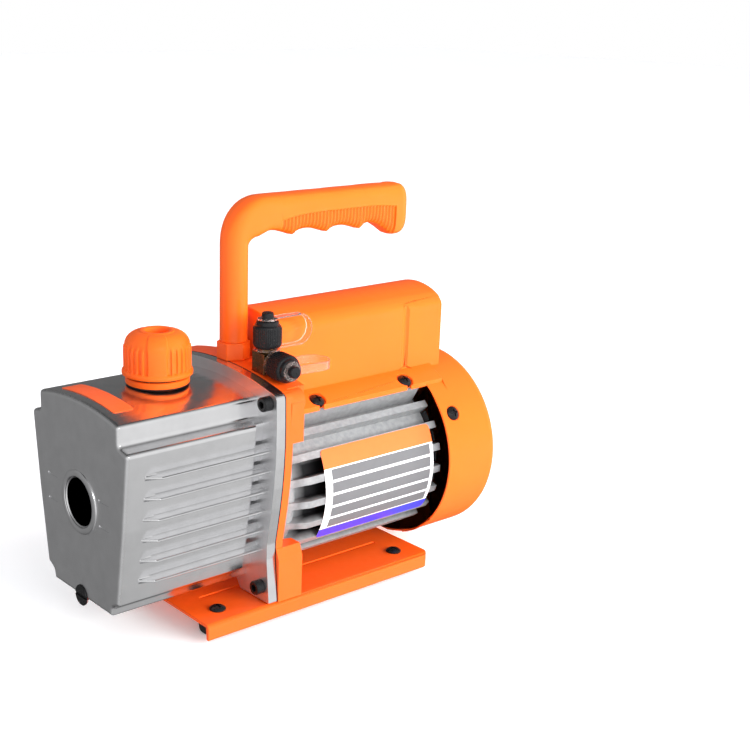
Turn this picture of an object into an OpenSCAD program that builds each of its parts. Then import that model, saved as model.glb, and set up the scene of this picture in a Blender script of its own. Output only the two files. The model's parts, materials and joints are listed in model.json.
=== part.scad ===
// HVAC vacuum pump: two-stage rotary-vane pump in an oil tank, finned motor, carrying handle.
// Working frame: X along the shaft from the oil tank towards the fan, Y across, Z up, millimetres.
// x is measured from the base plate's front edge and the whole is then centred on X.

/* [Overall] */
// Height of the motor and pump axis above the floor
axis_h = 68.4; // [60:0.1:80]
// Height of the base plate's top face above the floor
base_top = 12.4; // [8:0.1:20]
// Part of the assembly to draw

/* [Base plate] */
// Length of the base plate
base_len = 170; // [150:1:190]
// Half of the base plate's width
base_half = 54.4; // [45:0.1:60]
// Height of the turned-down side lips
base_lip = 9.2; // [5:0.1:12]
// Sheet thickness
base_t = 2; // [1:0.1:3]
// Plan radius of the rear corners
base_corner = 6; // [1:0.5:12]
// Front foot screws from the plate's front edge
foot_x1 = 16.5; // [10:0.1:40]
// Rear foot screws from the plate's front edge
foot_x2 = 152.2; // [120:0.1:160]
// Foot screws from the centre line
foot_y = 39.8; // [30:0.1:45]
// Radius of the rubber feet
foot_r = 11.5; // [8:0.1:14]

/* [Oil tank] */
// Tank front face
tank_x0 = -47.5; // [-60:0.1:-30]
// Flange front face
flange_x0 = 42.6; // [35:0.1:50]
// Flange rear face
flange_x1 = 48.8; // [44:0.1:55]
// Half width of the tank at the top corner
tank_top_half = 41.1; // [35:0.1:45]
// Height of the tank's top corner
tank_top_z = 133.8; // [125:0.1:140]
// Radius of the arched top
tank_arch_r = 177; // [100:1:300]
// Half width at the shoulder
tank_sh_half = 50.2; // [40:0.1:55]
// Height of the shoulder
tank_sh_z = 120.2; // [110:0.1:126]
// Half width at the lower corner
tank_low_half = 38.2; // [30:0.1:45]
// Height of the lower corner
tank_low_z = 31.5; // [25:0.1:40]
// Half width of the tank's bottom
tank_bot_half = 31.0; // [20:0.1:35]
// Height of the tank's bottom
tank_bot_z = 23; // [15:0.1:30]
// Wall thickness
tank_wall = 4; // [2.5:0.1:6]
// Number of side ribs on each side
rib_n = 6; // [3:1:8]
// Height of the top rib
rib_z1 = 105.6; // [90:0.1:110]
// Pitch of the side ribs
rib_pitch = 12.25; // [8:0.05:15]
// Front end of the side ribs
rib_x0 = -36; // [-45:0.1:0]
// Sight glass height
glass_z = 79.6; // [60:0.1:90]
// Sight glass boss radius
glass_r = 18.1; // [14:0.1:22]
// Sight glass opening radius
glass_open_r = 14.4; // [10:0.1:17]
// Drain plug height
drain_z = 24.2; // [20:0.1:35]

/* [Oil cap] */
// Oil cap axis along X
cap_x = 4.1; // [-10:0.1:20]
// Radius of the oil cap's rim
cap_r = 19.8; // [15:0.1:22]
// Lower edge of the oil cap's rim
cap_z0 = 144.4; // [140:0.1:150]
// Top of the oil cap
cap_z1 = 168.8; // [160:0.1:175]
// Filler neck radius
neck_r = 17.9; // [14:0.1:20]

/* [Bracket and handle] */
// Bracket front face
brk_x0 = 49.2; // [45:0.1:55]
// Bracket plate rear face
brk_x1 = 54; // [50:0.1:60]
// Rear face of the bracket's feet and top band
brk_x2 = 66.3; // [60:0.1:70]
// Top of the bracket's arch
brk_top = 144.9; // [140:0.1:150]
// Radius of the bracket's arch
brk_arch_r = 236; // [150:1:300]
// Handle stem axis along X
han_x = 56.1; // [50:0.1:62]
// Handle stem radius
han_r = 8.1; // [6:0.1:10]
// Top of the grip
han_top = 237.2; // [220:0.1:250]
// Rear end of the grip
han_end = 183; // [180:0.1:190]
// Grip width
grip_w = 18; // [14:0.1:24]
// Intake fitting from the centre line
port_y = -30; // [-36:0.1:-20]
// Intake fitting axis along X
port_x = 57.4; // [52:0.1:62]

/* [Motor and cover] */
// Radius over the motor's fins
fin_r = 51; // [45:0.1:56]
// Rear end of the fins
fin_x1 = 186; // [170:0.1:190]
// Angle between fins
fin_step = 16; // [10:1:24]
// Fin thickness
fin_t = 4.4; // [2:0.1:6]
// Outer radius of the fan cover
cover_r = 59.3; // [55:0.1:65]
// Front edge of the fan cover
cover_x0 = 178.4; // [170:0.1:190]
// Rear end of the fan cover
cover_x1 = 220.8; // [210:0.1:230]
// Half width of the shelf
shelf_half = 35.7; // [30:0.1:45]
// Half width of the electrical box
box_half = 23.4; // [18:0.1:30]
// Rear wall of the electrical box
box_x1 = 200.5; // [190:0.1:210]
// Top of the electrical box
box_top = 173; // [165:0.1:180]

/* [Hidden] */
$fn = 64;
eps = 0.01;
fit = 0.05;                       // clearance of seated parts
gap = 0.3;                        // clearance of moving parts
sheet_bot = base_top - base_t;    // underside of the base plate
x_front = -48.6;                  // foremost point, the drain plug's head
x_mid = (cover_x1 + x_front) / 2;
bolt_top = [51.5, 132.7];         // flange bolts, y and z
bolt_bot = [46.3, 21.9];
gasket_x = [flange_x1, brk_x0];
foot_block_y = 34;                // inner edge of the bracket's feet
foot_block_z = 44.5;
cover_screw_a = 59;               // degrees above the horizontal
cover_screw_x = [93.7, 163.6];
side_screw_a = 31.8;
side_screw_x = 187.9;
shelf_r = 61.2;
cover_t = 2;
// pump stack
pump_r = 33;
pump_x = [-12.8, -6.8, 5.2, 11.2, 33.2, flange_x1 + 0.4];
bore_r = 22;
bore_drop = 3;
rotor_r = 18.9;
tube_y = port_y + 3;              // intake tube inside the tank
pshaft_r = 6;
mshaft_r = 7;
bolt_pc = 28;
motor_pc = 37.3;
diagonals = [45:90:359];
// intake caps
flare_r = 5.4;

// ---------------------------------------------------------------- helpers
module both() { children(); mirror([0, 1, 0]) children(); }
// a 2-D shape drawn in (y, z), extruded along X from x0 to x1
module along_x(x0, x1) {
  translate([x0, 0, 0]) rotate([90, 0, 90]) linear_extrude(x1 - x0) children();
}
// a 2-D shape drawn in (x, z), extruded along Y from y0 to y1
module along_y(y0, y1) {
  translate([0, y1, 0]) rotate([90, 0, 0]) linear_extrude(y1 - y0) children();
}
module rod_x(x0, x1, r, y = 0, z = axis_h, fn = 64) {
  translate([x0, y, z]) rotate([0, 90, 0]) cylinder(r = r, h = x1 - x0, $fn = fn);
}
module rod_z(z0, z1, r, x, y, fn = 48) {
  translate([x, y, z0]) cylinder(r = r, h = z1 - z0, $fn = fn);
}
module rod_y(y0, y1, r, x, z, fn = 48) {
  translate([x, y1, z]) rotate([90, 0, 0]) cylinder(r = r, h = y1 - y0, $fn = fn);
}
module box(a, b) { translate(a) cube([b[0] - a[0], b[1] - a[1], b[2] - a[2]]); }
// rounded rectangle centred on the origin
module rrect(w, h, r) {
  union() {
    square([w - 2 * r, h], center = true);
    square([w, h - 2 * r], center = true);
    for (i = [-1, 1], j = [-1, 1])
      translate([i * (w / 2 - r), j * (h / 2 - r)]) circle(r = r, $fn = 32);
  }
}
// a profile of [radius, height] pairs turned about Z
module turned(p, fn = 64) { rotate_extrude($fn = fn) polygon(p); }
// a profile turned about X, its heights running along +X from x0
module turned_x(p, x0, z = axis_h, y = 0, fn = 64) {
  translate([x0, y, z]) rotate([0, 90, 0]) turned(p, fn);
}
// place children on the motor's surface: angle above the horizontal on the -Y side
module radial(x, a, r) {
  translate([x, 0, axis_h]) rotate([90 - a, 0, 0]) translate([0, 0, r]) children();
}
// cross-recess screw, head underside at z = 0, shank downwards
module cross_screw(head_r, head_h, shank_r, shank_l) {
  difference() {
    union() {
      intersection() {
        translate([0, 0, head_h - head_r * 1.5]) sphere(r = head_r * 1.5, $fn = 48);
        cylinder(r = head_r, h = head_h, $fn = 48);
      }
      translate([0, 0, -shank_l]) cylinder(r = shank_r, h = shank_l + head_h / 3, $fn = 32);
    }
    for (a = [0, 90]) rotate(a)
      translate([-head_r * 0.55, -head_r * 0.12, head_h * 0.45])
        cube([head_r * 1.1, head_r * 0.24, head_h]);
  }
}
// socket-head screw along -X: head front at x = 0, shank towards +X
module socket_screw(head_r, head_l, shank_r, shank_l, key) {
  difference() {
    union() {
      turned_x([[0, 0], [head_r - 0.5, 0], [head_r, 0.5], [head_r, head_l], [0, head_l]], 0, 0);
      rod_x(head_l - eps, head_l + shank_l, shank_r, 0, 0, 32);
    }
    translate([-eps, 0, 0]) rotate([0, 90, 0]) cylinder(r = key, h = head_l * 0.6, $fn = 6);
  }
}

// ---------------------------------------------------------------- base
module base_plate() color([0.95, 0.38, 0.06]) {
  br = 3;
  difference() {
    intersection() {
      along_x(0, base_len) difference() {
        union() {
          translate([-base_half + br, base_top - 2 * br]) square([2 * (base_half - br), 2 * br]);
          for (s = [-1, 1]) {
            translate([s * (base_half - br), base_top - br]) circle(r = br, $fn = 48);
            translate([s > 0 ? base_half - base_t : -base_half, base_top - base_lip])
              square([base_t, base_lip - br]);
          }
        }
        translate([-base_half + base_t + 1, 0]) square([2 * (base_half - base_t - 1), sheet_bot]);
        for (s = [-1, 1]) translate([s > 0 ? base_half - br : -base_half + base_t, 0])
          square([br - base_t, base_top - br]);
        for (s = [-1, 1]) translate([s * (base_half - br), base_top - br])
          circle(r = br - base_t, $fn = 48);
      }
      translate([0, 0, -1]) linear_extrude(base_top + 2) union() {
        translate([-1, -base_half - 1]) square([base_len + 1 - base_corner, 2 * base_half + 2]);
        translate([0, -base_half + base_corner])
          square([base_len, 2 * (base_half - base_corner)]);
        for (s = [-1, 1]) translate([base_len - base_corner, s * (base_half - base_corner)])
          circle(r = base_corner, $fn = 48);
      }
    }
    for (x = [foot_x1, foot_x2], s = [-1, 1]) rod_z(0, 20, 2.6, x, s * foot_y);
    for (x = [60], s = [-1, 1]) rod_z(0, 20, 3.2, x, s * 43);
    // pressed stiffening grooves
    for (s = [-1, 1]) translate([0, 0, base_top - 0.7]) linear_extrude(2)
      translate([(16.5 + 152.5) / 2, s * 22.2]) rrect(136, 2.4, 1.15);
  }
}
module rubber_feet() color([0.05, 0.05, 0.05])
  for (x = [foot_x1, foot_x2], s = [-1, 1]) translate([x, s * foot_y, 0])
    difference() {
      turned([[0, 0], [foot_r - 2, 0], [foot_r - 1.2, 0.8], [foot_r, sheet_bot - 1],
              [foot_r, sheet_bot], [0, sheet_bot]]);
      translate([0, 0, -1]) cylinder(r = 2.7, h = 20, $fn = 32);
      translate([0, 0, -1]) cylinder(r = 6, h = 5.6, $fn = 48);
    }
module foot_screws() color([0.06, 0.06, 0.065])
  for (x = [foot_x1, foot_x2], s = [-1, 1])
    translate([x, s * foot_y, base_top]) cross_screw(4.7, 2.6, 2.4, base_top - 1.2);
module foot_nuts() color([0.72, 0.72, 0.74])
  for (x = [foot_x1, foot_x2], s = [-1, 1]) translate([x, s * foot_y, 1.4])
    difference() {
      union() {
        cylinder(r = 4.6, h = 2.6, $fn = 6);
        translate([0, 0, 2.6]) cylinder(r = 5.8, h = 0.6, $fn = 48);
      }
      translate([0, 0, -1]) cylinder(r = 2.45, h = 6, $fn = 32);
    }

// ---------------------------------------------------------------- bracket
// outline of the flange and bracket plate in (y, z), right half
out_pts = [[0, 150], [57.6, 150], [58.4, 119.2], [58.4, 107.7], [57.8, 95.9], [56.7, 83.8],
           [55, 71.4], [52.8, 58.6], [51, 48.8], [50.9, 39.6], [53.4, base_top + 0.3],
           [26, base_top + 0.3], [20, 22], [0, 22]];
module plate_outline() {
  difference() {
    intersection() {
      union() { for (m = [0, 1]) mirror([m, 0]) polygon(out_pts); }
      translate([0, brk_top - brk_arch_r]) circle(r = brk_arch_r, $fn = 360);
    }
    // rounded top corners
    for (m = [0, 1]) mirror([m, 0]) difference() {
      translate([54.6, 134.6]) square([5, 12]);
      translate([54.6, 134.6]) circle(r = 3.6, $fn = 48);
    }
  }
}
module bracket() color([0.96, 0.42, 0.05]) difference() {
  union() {
    along_x(brk_x0, brk_x1) plate_outline();
    // thick arched top band carrying the handle and the intake fitting
    along_x(brk_x0, brk_x2) intersection() {
      plate_outline();
      difference() {
        translate([-52, 128]) square([104, 20]);
        translate([0, brk_top - 9 - brk_arch_r]) circle(r = brk_arch_r, $fn = 360);
      }
    }
    both() {
      // side ear with its bolt boss
      along_x(brk_x1 - 1, 61.6) polygon([[-58.4, 109], [-58.4, 132], [-50, 132], [-50, 112]]);
      rod_x(brk_x1 - 1, 62.6, 6.6, -51.6, 131.8, 48);
      // foot
      along_x(brk_x0, brk_x2) polygon([
        [-53.8, base_top + 0.1], [-53.8, 38], [-51.2, foot_block_z],
        [-38, foot_block_z], [-foot_block_y, 36], [-foot_block_y, base_top + 0.1]]);
    }
    // hub for the front bearing and the motor's register
    rod_x(brk_x0, 64, 22);
    // boss of the intake passage and the handle's seat
    intersection() {
      union() {
        rod_z(108, 138, 8.4, port_x, port_y);
        rod_z(126, 140, 12, han_x + 1, 0);
      }
      box([brk_x0, -60, 100], [brk_x2, 60, 150]);
    }
  }
  // room for the motor's front ring and fins, and the intake fitting's flat seat
  turned_x([[22.3, 0], [46.9, 0], [46.9, 3.5], [49.6, 13], [49.6, 14], [22.3, 14]], brk_x1 + 0.02);
  translate([port_x, port_y, fitting_z - 0.02]) rotate(side_a) translate([-6.6, -6.6, 0])
    cube([13.2, 13.2, 10]);
  // lightening recess between the feet
  rod_x(brk_x0 - 1, 55.8, 13.05);
  rod_x(55.7, 65, 16.05);
  rod_z(122, 150, 6.05, han_x, 0);
  rod_z(112, 150, 4.05, port_x, port_y);
  rod_x(brk_x0 - 1, port_x, 3.5, port_y, 112);
  both() {
    rod_x(brk_x0 - 1, 61, 2.55, bolt_top[0], bolt_top[1], 32);
    rod_x(brk_x0 - 1, 56.4, 2.55, bolt_bot[0], bolt_bot[1], 32);
    rod_z(base_top - 1, 34, 3.05, 60, 43);
  }
  for (a = diagonals) {
    rod_x(brk_x0 - 1, 60, 2.55, bolt_pc * cos(a), axis_h + bolt_pc * sin(a), 32);
    rod_x(brk_x0 - 1, 56, 2.3, motor_pc * cos(a), axis_h + motor_pc * sin(a), 32);
  }
}
module bracket_bolts() color([0.07, 0.07, 0.075]) both()
  translate([60, 43, sheet_bot]) difference() {
    union() {
      translate([0, 0, -3]) cylinder(r1 = 4.6, r2 = 5.4, h = 3, $fn = 48);
      cylinder(r = 3, h = 22, $fn = 32);
    }
    translate([0, 0, -3.5]) cylinder(r = 2.3, h = 2.4, $fn = 6);
  }

// ---------------------------------------------------------------- oil tank
module tank_section(inset = 0) {
  h1 = tank_top_half - inset; h2 = tank_sh_half - inset; h3 = tank_low_half - inset;
  h4 = tank_bot_half - inset;
  intersection() {
    union() for (m = [0, 1]) mirror([m, 0]) polygon([
      [0, 150], [h1, 150], [h1, tank_sh_z + 4.6 - inset], [h1 + 3, tank_sh_z + 1.6 - inset],
      [h2 - 1.4, tank_sh_z - inset], [h2, tank_sh_z - 2 - inset],
      [(h2 + h3) / 2 + 0.7, (tank_sh_z + tank_low_z) / 2], [h3, tank_low_z],
      [h3 - 2.4, tank_low_z - 3 + inset * 0.6], [h4 + 1.6, tank_bot_z + 4 + inset * 0.5],
      [h4, tank_bot_z + inset], [0, tank_bot_z + inset]]);
    translate([0, 138.4 - inset - tank_arch_r]) circle(r = tank_arch_r, $fn = 360);
  }
}
// wedge-fronted rib on the -Y side: grows out of the wall over its first millimetres
module rib(z, y0, y1) translate([0, 0, z - 0.9]) linear_extrude(1.8)
  polygon([[rib_x0, 0.05 - y0], [rib_x0 + 7, -y1], [flange_x0 + 0.5, -y1],
           [flange_x0 + 0.5, 4.5 - y0], [rib_x0, 4.5 - y0]]);
module oil_tank() color([0.72, 0.72, 0.73]) difference() {
  union() {
    along_x(tank_x0 + 2, 36) tank_section();
    along_x(tank_x0, tank_x0 + 2.1) tank_section(1.2);
    along_x(tank_x0 + 0.7, tank_x0 + 2.1) tank_section(0.4);
    along_x(35.9, flange_x0 + 0.5) tank_section(3.2);
    along_x(flange_x0, flange_x1) plate_outline();
    along_x(35, flange_x0 + 0.5) intersection() {
      tank_section();
      translate([-60, 126]) square([120, 20]);
    }
    both() for (i = [0:rib_n - 1]) {
      z = rib_z1 - i * rib_pitch;
      k = (z - tank_low_z) / (tank_sh_z - tank_low_z);
      y0 = tank_low_half + k * (tank_sh_half - tank_low_half);
      rib(z, y0, y0 + 6);
    }
    // bosses: sight glass, drain, filler
    rod_x(tank_x0 - 0.6, tank_x0 + 8, glass_r, 0, glass_z, 96);
    rod_x(tank_x0 - 0.4, tank_x0 + 14, 7.2, 0, drain_z, 48);
    rod_z(130, 138.6, neck_r + 0.3, cap_x, 0, 96);
  }
  // cavity
  along_x(tank_x0 + tank_wall, 36) tank_section(tank_wall);
  along_x(35.9, flange_x1 + 1) tank_section(7.4);
  // sight glass well
  rod_x(tank_x0 - 1, tank_x0 + 20, glass_open_r - 2.4, 0, glass_z, 96);
  rod_x(tank_x0 - 1, tank_x0 + 8.6, glass_open_r, 0, glass_z, 96);
  // drain, filler and bolt holes
  rod_x(tank_x0 - 1, tank_x0 + 14.6, 4.05, 0, drain_z, 48);
  rod_x(tank_x0 - 1, tank_x0 + 0.4, 6.4, 0, drain_z, 48);
  rod_x(tank_x0 + 7, tank_x0 + 14.6, 3, 0, drain_z + 5, 48);
  rod_z(110, 140, 13.05, cap_x, 0, 64);
  both() {
    rod_x(30, 50, 2.7, bolt_top[0], bolt_top[1], 32);
    rod_x(30, 50, 2.7, bolt_bot[0], bolt_bot[1], 32);
  }
  // oil level marks
  for (s = [-1, 1], z = [72.3, 87.1])
    box([tank_x0 - 0.1, s > 0 ? 23.4 : -31, z - 0.6], [tank_x0 + 0.4, s > 0 ? 34 : -20.3, z + 0.6]);
}
module tank_gasket() color([0.12, 0.12, 0.12])
  along_x(gasket_x[0] + 0.02, gasket_x[1] - 0.02) difference() {
    plate_outline();
    tank_section(7.8);
    for (m = [0, 1]) mirror([m, 0]) {
      translate(bolt_top) circle(r = 2.8, $fn = 32);
      translate(bolt_bot) circle(r = 2.8, $fn = 32);
    }
  }
module flange_bolts() color([0.05, 0.05, 0.055]) both() {
  translate([flange_x0 - 5.6, bolt_top[0], bolt_top[1]]) socket_screw(4.15, 5.6, 2.5, 17.4, 2.3);
  translate([flange_x0 - 5.6, bolt_bot[0], bolt_bot[1]]) socket_screw(4.15, 5.6, 2.5, 13.2, 2.3);
}
module tank_label() color([1, 0.36, 0.12]) intersection() {
  translate([0, 0, 138.7 - tank_arch_r]) rotate([0, 90, 0]) translate([0, 0, -60])
    difference() {
      cylinder(r = tank_arch_r, h = 60, $fn = 720);
      translate([0, 0, -1]) cylinder(r = tank_arch_r - 0.28, h = 62, $fn = 720);
    }
  translate([-34.8, 0, 120]) linear_extrude(30) rrect(12.6, 55.2, 1.6);
}
module sight_glass() color([0.75, 0.85, 0.88, 0.35])
  rod_x(tank_x0 + 6.4, tank_x0 + 8.4, glass_open_r - fit, 0, glass_z, 96);
module sight_glass_ring() color([0.25, 0.25, 0.26])
  turned_x([[11.9, 0], [glass_open_r - fit, 0], [glass_open_r - fit, 4.8], [11.2, 4.8],
            [11.2, 1]], tank_x0 + 0.6, glass_z, 0, 96);
module sight_glass_seal() color([0.04, 0.04, 0.04])
  turned_x([[11.6, 0], [glass_open_r - 0.1, 0], [glass_open_r - 0.1, 0.9], [11.6, 0.9]],
           tank_x0 + 5.45, glass_z, 0, 96);
module drain_plug() color([0.06, 0.06, 0.06])
  translate([tank_x0 - 0.7, 0, drain_z]) difference() {
    union() {
      turned_x([[0, -0.4], [5.6, -0.4], [6.1, 0.1], [6.1, 0.7], [0, 0.7]], 0, 0);
      rod_x(0.6, 12, 3.7, 0, 0, 48);
    }
    box([-1, -6.5, -0.8], [0.3, 6.5, 0.8]);
  }
module drain_plug_seal() color([0.5, 0.08, 0.05])
  turned_x([[4.2, 0], [5.9, 0], [5.9, 0.3], [4.2, 0.3]], tank_x0 + 0.05, drain_z, 0, 48);

// ---------------------------------------------------------------- filler neck and cap
module filler_neck() color([0.96, 0.40, 0.05]) translate([cap_x, 0, 0]) turned([
  [10.4, 124], [13, 124], [13, 139.3], [neck_r - 0.4, 139.3], [neck_r, 139.8],
  [neck_r, 142.6], [neck_r - 0.5, 143], [12.4, 143], [12.4, 157], [11.8, 157.6], [10.4, 157.6]], 96);
module filler_neck_seal() color([0.03, 0.03, 0.03]) translate([cap_x, 0, 138.65])
  turned([[13.4, 0], [neck_r - 0.5, 0], [neck_r - 0.3, 0.3], [neck_r - 0.5, 0.6], [13.4, 0.6]], 96);
module oil_cap_seal() color([0.04, 0.04, 0.04]) translate([cap_x, 0, 0])
  turned([[12.8, 143.15], [neck_r - 1.4, 143.15], [neck_r - 1.4, cap_z0 - 0.1],
          [12.8, cap_z0 - 0.1]], 96);
spoke_a = [-123, -3, 117];
module oil_cap() color([0.98, 0.45, 0.05]) translate([cap_x, 0, 0]) difference() {
  union() {
    // core of the ribbed panels
    turned([[0, cap_z0], [cap_r - 0.5, cap_z0], [cap_r, cap_z0 + 0.5], [cap_r, cap_z0 + 2],
            [18.4, cap_z0 + 2.8], [18.2, 160], [16.6, 162.6], [10.8, 166.6], [0, 167.4]], 96);
    // ribs between the spokes
    for (a = spoke_a, d = [26:11.3:94]) rotate(a + d)
      translate([17, -0.8, cap_z0 + 2]) cube([2.3, 1.6, 16.2]);
    // three broad smooth spokes
    for (a = spoke_a) rotate(a) intersection() {
      turned([[0, cap_z0], [cap_r - 0.3, cap_z0 + 1], [cap_r - 0.4, 161.4], [18.2, 163.6],
              [10.6, cap_z1 - 0.3], [9.6, cap_z1], [0, cap_z1]], 96);
      translate([0, 0, 100]) linear_extrude(100)
        polygon([[0, -4.2], [12, -4.8], [25, -6.2], [25, 6.2], [12, 4.8], [0, 4.2]]);
    }
    translate([0, 0, 160]) cylinder(r = 9.2, h = cap_z1 - 160, $fn = 64);
  }
  // bore over the neck and the recess in the top
  translate([0, 0, cap_z0 - 1]) cylinder(r = 12.4 + gap, h = 14.6, $fn = 64);
  translate([0, 0, 163.8]) cylinder(r = 6.4, h = 10, $fn = 64);
  translate([0, 0, cap_z1 - 0.8]) cylinder(r1 = 6.4, r2 = 7.3, h = 0.9, $fn = 64);
}
module exhaust_filter() color([0.85, 0.83, 0.76]) translate([cap_x, 0, 0]) difference() {
  union() {
    translate([0, 0, 112]) cylinder(r = 12, h = 11.9, $fn = 64);
    translate([0, 0, 123.8]) cylinder(r = 10.3, h = 20, $fn = 64);
  }
  translate([0, 0, 114]) cylinder(r = 8, h = 40, $fn = 48);
}

// ---------------------------------------------------------------- handle
stem_bend = 18;                     // centre-line radius of the bend
bend_z = han_top - stem_bend - han_r;
grip_x = [68.5, 94.2, 119.9, 145.8, 172];      // finger stops
grip_z = [214.2, 213, 212.3, 211.6, 205.7];
// lower edge of the grip: scallops between the finger stops
function scallop(i, t) = [grip_x[i] + (grip_x[i + 1] - grip_x[i]) * t,
  grip_z[i] + (grip_z[i + 1] - grip_z[i]) * t + (i == 3 ? 5.2 : 3.2) * sin(180 * pow(t, 0.72))];
grip_low = [for (i = [0:3], k = [0:7]) scallop(i, k / 8)];
module grip_profile() union() {
  polygon(concat([[64.5, 208], [66, 211.6]], grip_low,
    [for (a = [-100:20:0]) [han_end - 7.5 + 7.5 * cos(a), 212.6 + 7 * sin(a)]],
    [for (a = [0:15:90]) [han_end - 8 + 8 * cos(a), han_top - 8 + 8 * sin(a)]],
    [[74, han_top], [74, 222], [64, 216], [64, 208]]));
}
module handle() color([0.98, 0.47, 0.06]) difference() {
  union() {
    rod_z(brk_top - 20, bend_z + eps, 6, han_x, 0);
    rod_z(154.9, bend_z + eps, han_r, han_x, 0);
    translate([han_x + stem_bend, 0, bend_z]) rotate([90, 0, 0]) rotate([0, 0, 90])
      rotate_extrude(angle = 90, $fn = 96) translate([stem_bend, 0]) circle(r = han_r, $fn = 48);
    intersection() {
      along_y(-grip_w / 2, grip_w / 2) grip_profile();
      along_x(60, 200) translate([0, han_top - 20]) rrect(grip_w, 40, 4.6);
    }
    translate([han_x + stem_bend, 0, bend_z + stem_bend]) sphere(r = han_r, $fn = 48);
  }
  // grooved finger zone on both sides
  for (s = [-1, 1], x = [84:2.6:176])
    box([x, s > 0 ? grip_w / 2 - 0.5 : -grip_w / 2 - 1, 204],
        [x + 1, s > 0 ? grip_w / 2 + 1 : -grip_w / 2 + 0.5, 224.5 - 3 * pow((x - 130) / 46, 4)]);
}
module handle_nut() color([0.97, 0.38, 0.08]) translate([han_x, 0, brk_top + eps])
  difference() {
    rotate(30) cylinder(r = 9.8, h = 10, $fn = 6);
    translate([0, 0, -1]) cylinder(r = 6 + fit, h = 12, $fn = 48);
  }

// ---------------------------------------------------------------- intake fitting, caps, straps
side_a = 265;                       // direction of the side port in plan
port_z = 149.5;                     // side port height
fitting_z = 143.1;                  // underside of the fitting's block
neck_z0 = 155;                      // top of the fitting's block
module on_side() { translate([port_x, port_y, port_z]) rotate(side_a) rotate([0, 90, 0]) children(); }
module on_top() { translate([port_x, port_y, neck_z0 - 7]) children(); }
module intake_fitting() color([0.28, 0.19, 0.10]) difference() {
  union() {
    translate([port_x, port_y, fitting_z]) {
      rotate(side_a) translate([-6.2, -6.2, 0]) cube([12.4, 12.4, neck_z0 - fitting_z]);
      translate([0, 0, -16]) cylinder(r = 4, h = 17, $fn = 48);
    }
    on_top() cylinder(r = flare_r, h = 20, $fn = 64);
    on_side() cylinder(r = flare_r, h = 20, $fn = 64);
  }
  translate([port_x, port_y, 120]) cylinder(r = 2.6, h = 60, $fn = 48);
  on_side() cylinder(r = 2.6, h = 30, $fn = 48);
}
module intake_screen() color([0.75, 0.72, 0.6]) translate([port_x, port_y, 118]) difference() {
  cylinder(r = 3.9, h = 8.9, $fn = 48);
  translate([0, 0, 1]) cylinder(r = 3.2, h = 9, $fn = 48);
}
// knurled cap: open end at h = 9.4, drawn along +Z from the port's centre
module knurled_cap() difference() {
  union() {
    turned([[0, 9.4], [6.6, 9.4], [7.9, 11], [7.9, 21.2], [6.9, 22.4], [6.4, 22.4],
            [6.4, 24.2], [5.6, 24.9], [3.4, 24.9], [3.4, 28.9], [2.9, 29.4], [0, 29.4]], 64);
    for (a = [0:12:359]) rotate(a) translate([7.4, -0.45, 11.4]) cube([0.8, 0.9, 9.4]);
  }
  cylinder(r = flare_r + gap, h = 20.9, $fn = 64);
  for (a = [0:60:359]) rotate(a) translate([4.6, 0, 23.6]) cylinder(r = 0.75, h = 3, $fn = 24);
}
module cap_seal() turned([[3, 20.1], [5.2, 20.1], [5.2, 20.8], [3, 20.8]], 48);
// flat retaining strap: a ring on the cap's post, a loop, a ring round the neck
module strap(reach) {
  difference() {
    union() {
      translate([0, 0, 25.1]) cylinder(r = 5.6, h = 0.9, $fn = 48);
      translate([0, 0, 7.9]) cylinder(r = 7.6, h = 0.9, $fn = 48);
      translate([4.4, -2.4, 25.1]) cube([reach - 4.4, 4.8, 0.9]);
      translate([6.4, -2.4, 7.9]) cube([reach - 6.4, 4.8, 0.9]);
      translate([reach, 2.4, 16.95]) rotate([90, 0, 0]) rotate([0, 0, -90])
        rotate_extrude(angle = 180, $fn = 72) translate([8.15, 0]) square([0.9, 4.8]);
    }
    translate([0, 0, 24]) cylinder(r = 3.45, h = 3, $fn = 48);
    translate([0, 0, 7]) cylinder(r = flare_r + 0.1, h = 3, $fn = 48);
  }
}
module intake_cap_top() color([0.06, 0.06, 0.065]) on_top() knurled_cap();
module intake_seal_top() color([0.1, 0.1, 0.1]) on_top() cap_seal();
module intake_cap_side() color([0.06, 0.06, 0.065]) on_side() knurled_cap();
module intake_seal_side() color([0.1, 0.1, 0.1]) on_side() cap_seal();
module cap_strap_top() color([0.95, 0.8, 0.75, 0.4]) on_top() strap(21.5);
module cap_strap_side() color([0.95, 0.8, 0.75, 0.4]) on_side() rotate([0, 0, 90]) strap(20);

// ---------------------------------------------------------------- motor
tube_in = 40.1;
tube_out = 43.5;
tube_x1 = 177;
fins = [for (k = [-5:3]) -3.2 + k * fin_step];
rail_half = 4.6;
rail_r = 58.5;
module stator_housing() color([0.62, 0.63, 0.64]) difference() {
  union() {
    turned_x([[tube_in, 0], [tube_out, 0], [tube_out, tube_x1 - 58], [tube_in, tube_x1 - 58]], 58);
    // front plate and the rounded ring the fins grow from
    turned_x([[22.4, 0], [45, 0], [46.4, 1.4], [46.4, 10], [45.6, 12.4], [43.4, 13.6], [40, 13.6],
              [40, 5], [22.4, 5]], brk_x1 + 0.1);
    both() for (a = fins) fin(a);
    // rails carrying the cover
    both() translate([0, 0, axis_h]) rotate([90 - cover_screw_a, 0, 0])
      box([70, -rail_half, tube_out - 0.6], [tube_x1 - 2, rail_half, rail_r]);
  }
  both() for (x = cover_screw_x) radial(x, cover_screw_a, 44.6) cylinder(r = 1.95, h = 20, $fn = 32);
  for (a = diagonals) rod_x(50, 66, 1.95, motor_pc * cos(a), axis_h + motor_pc * sin(a), 32);
  rod_z(106, 120, 5, 158, 0);
}
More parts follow.
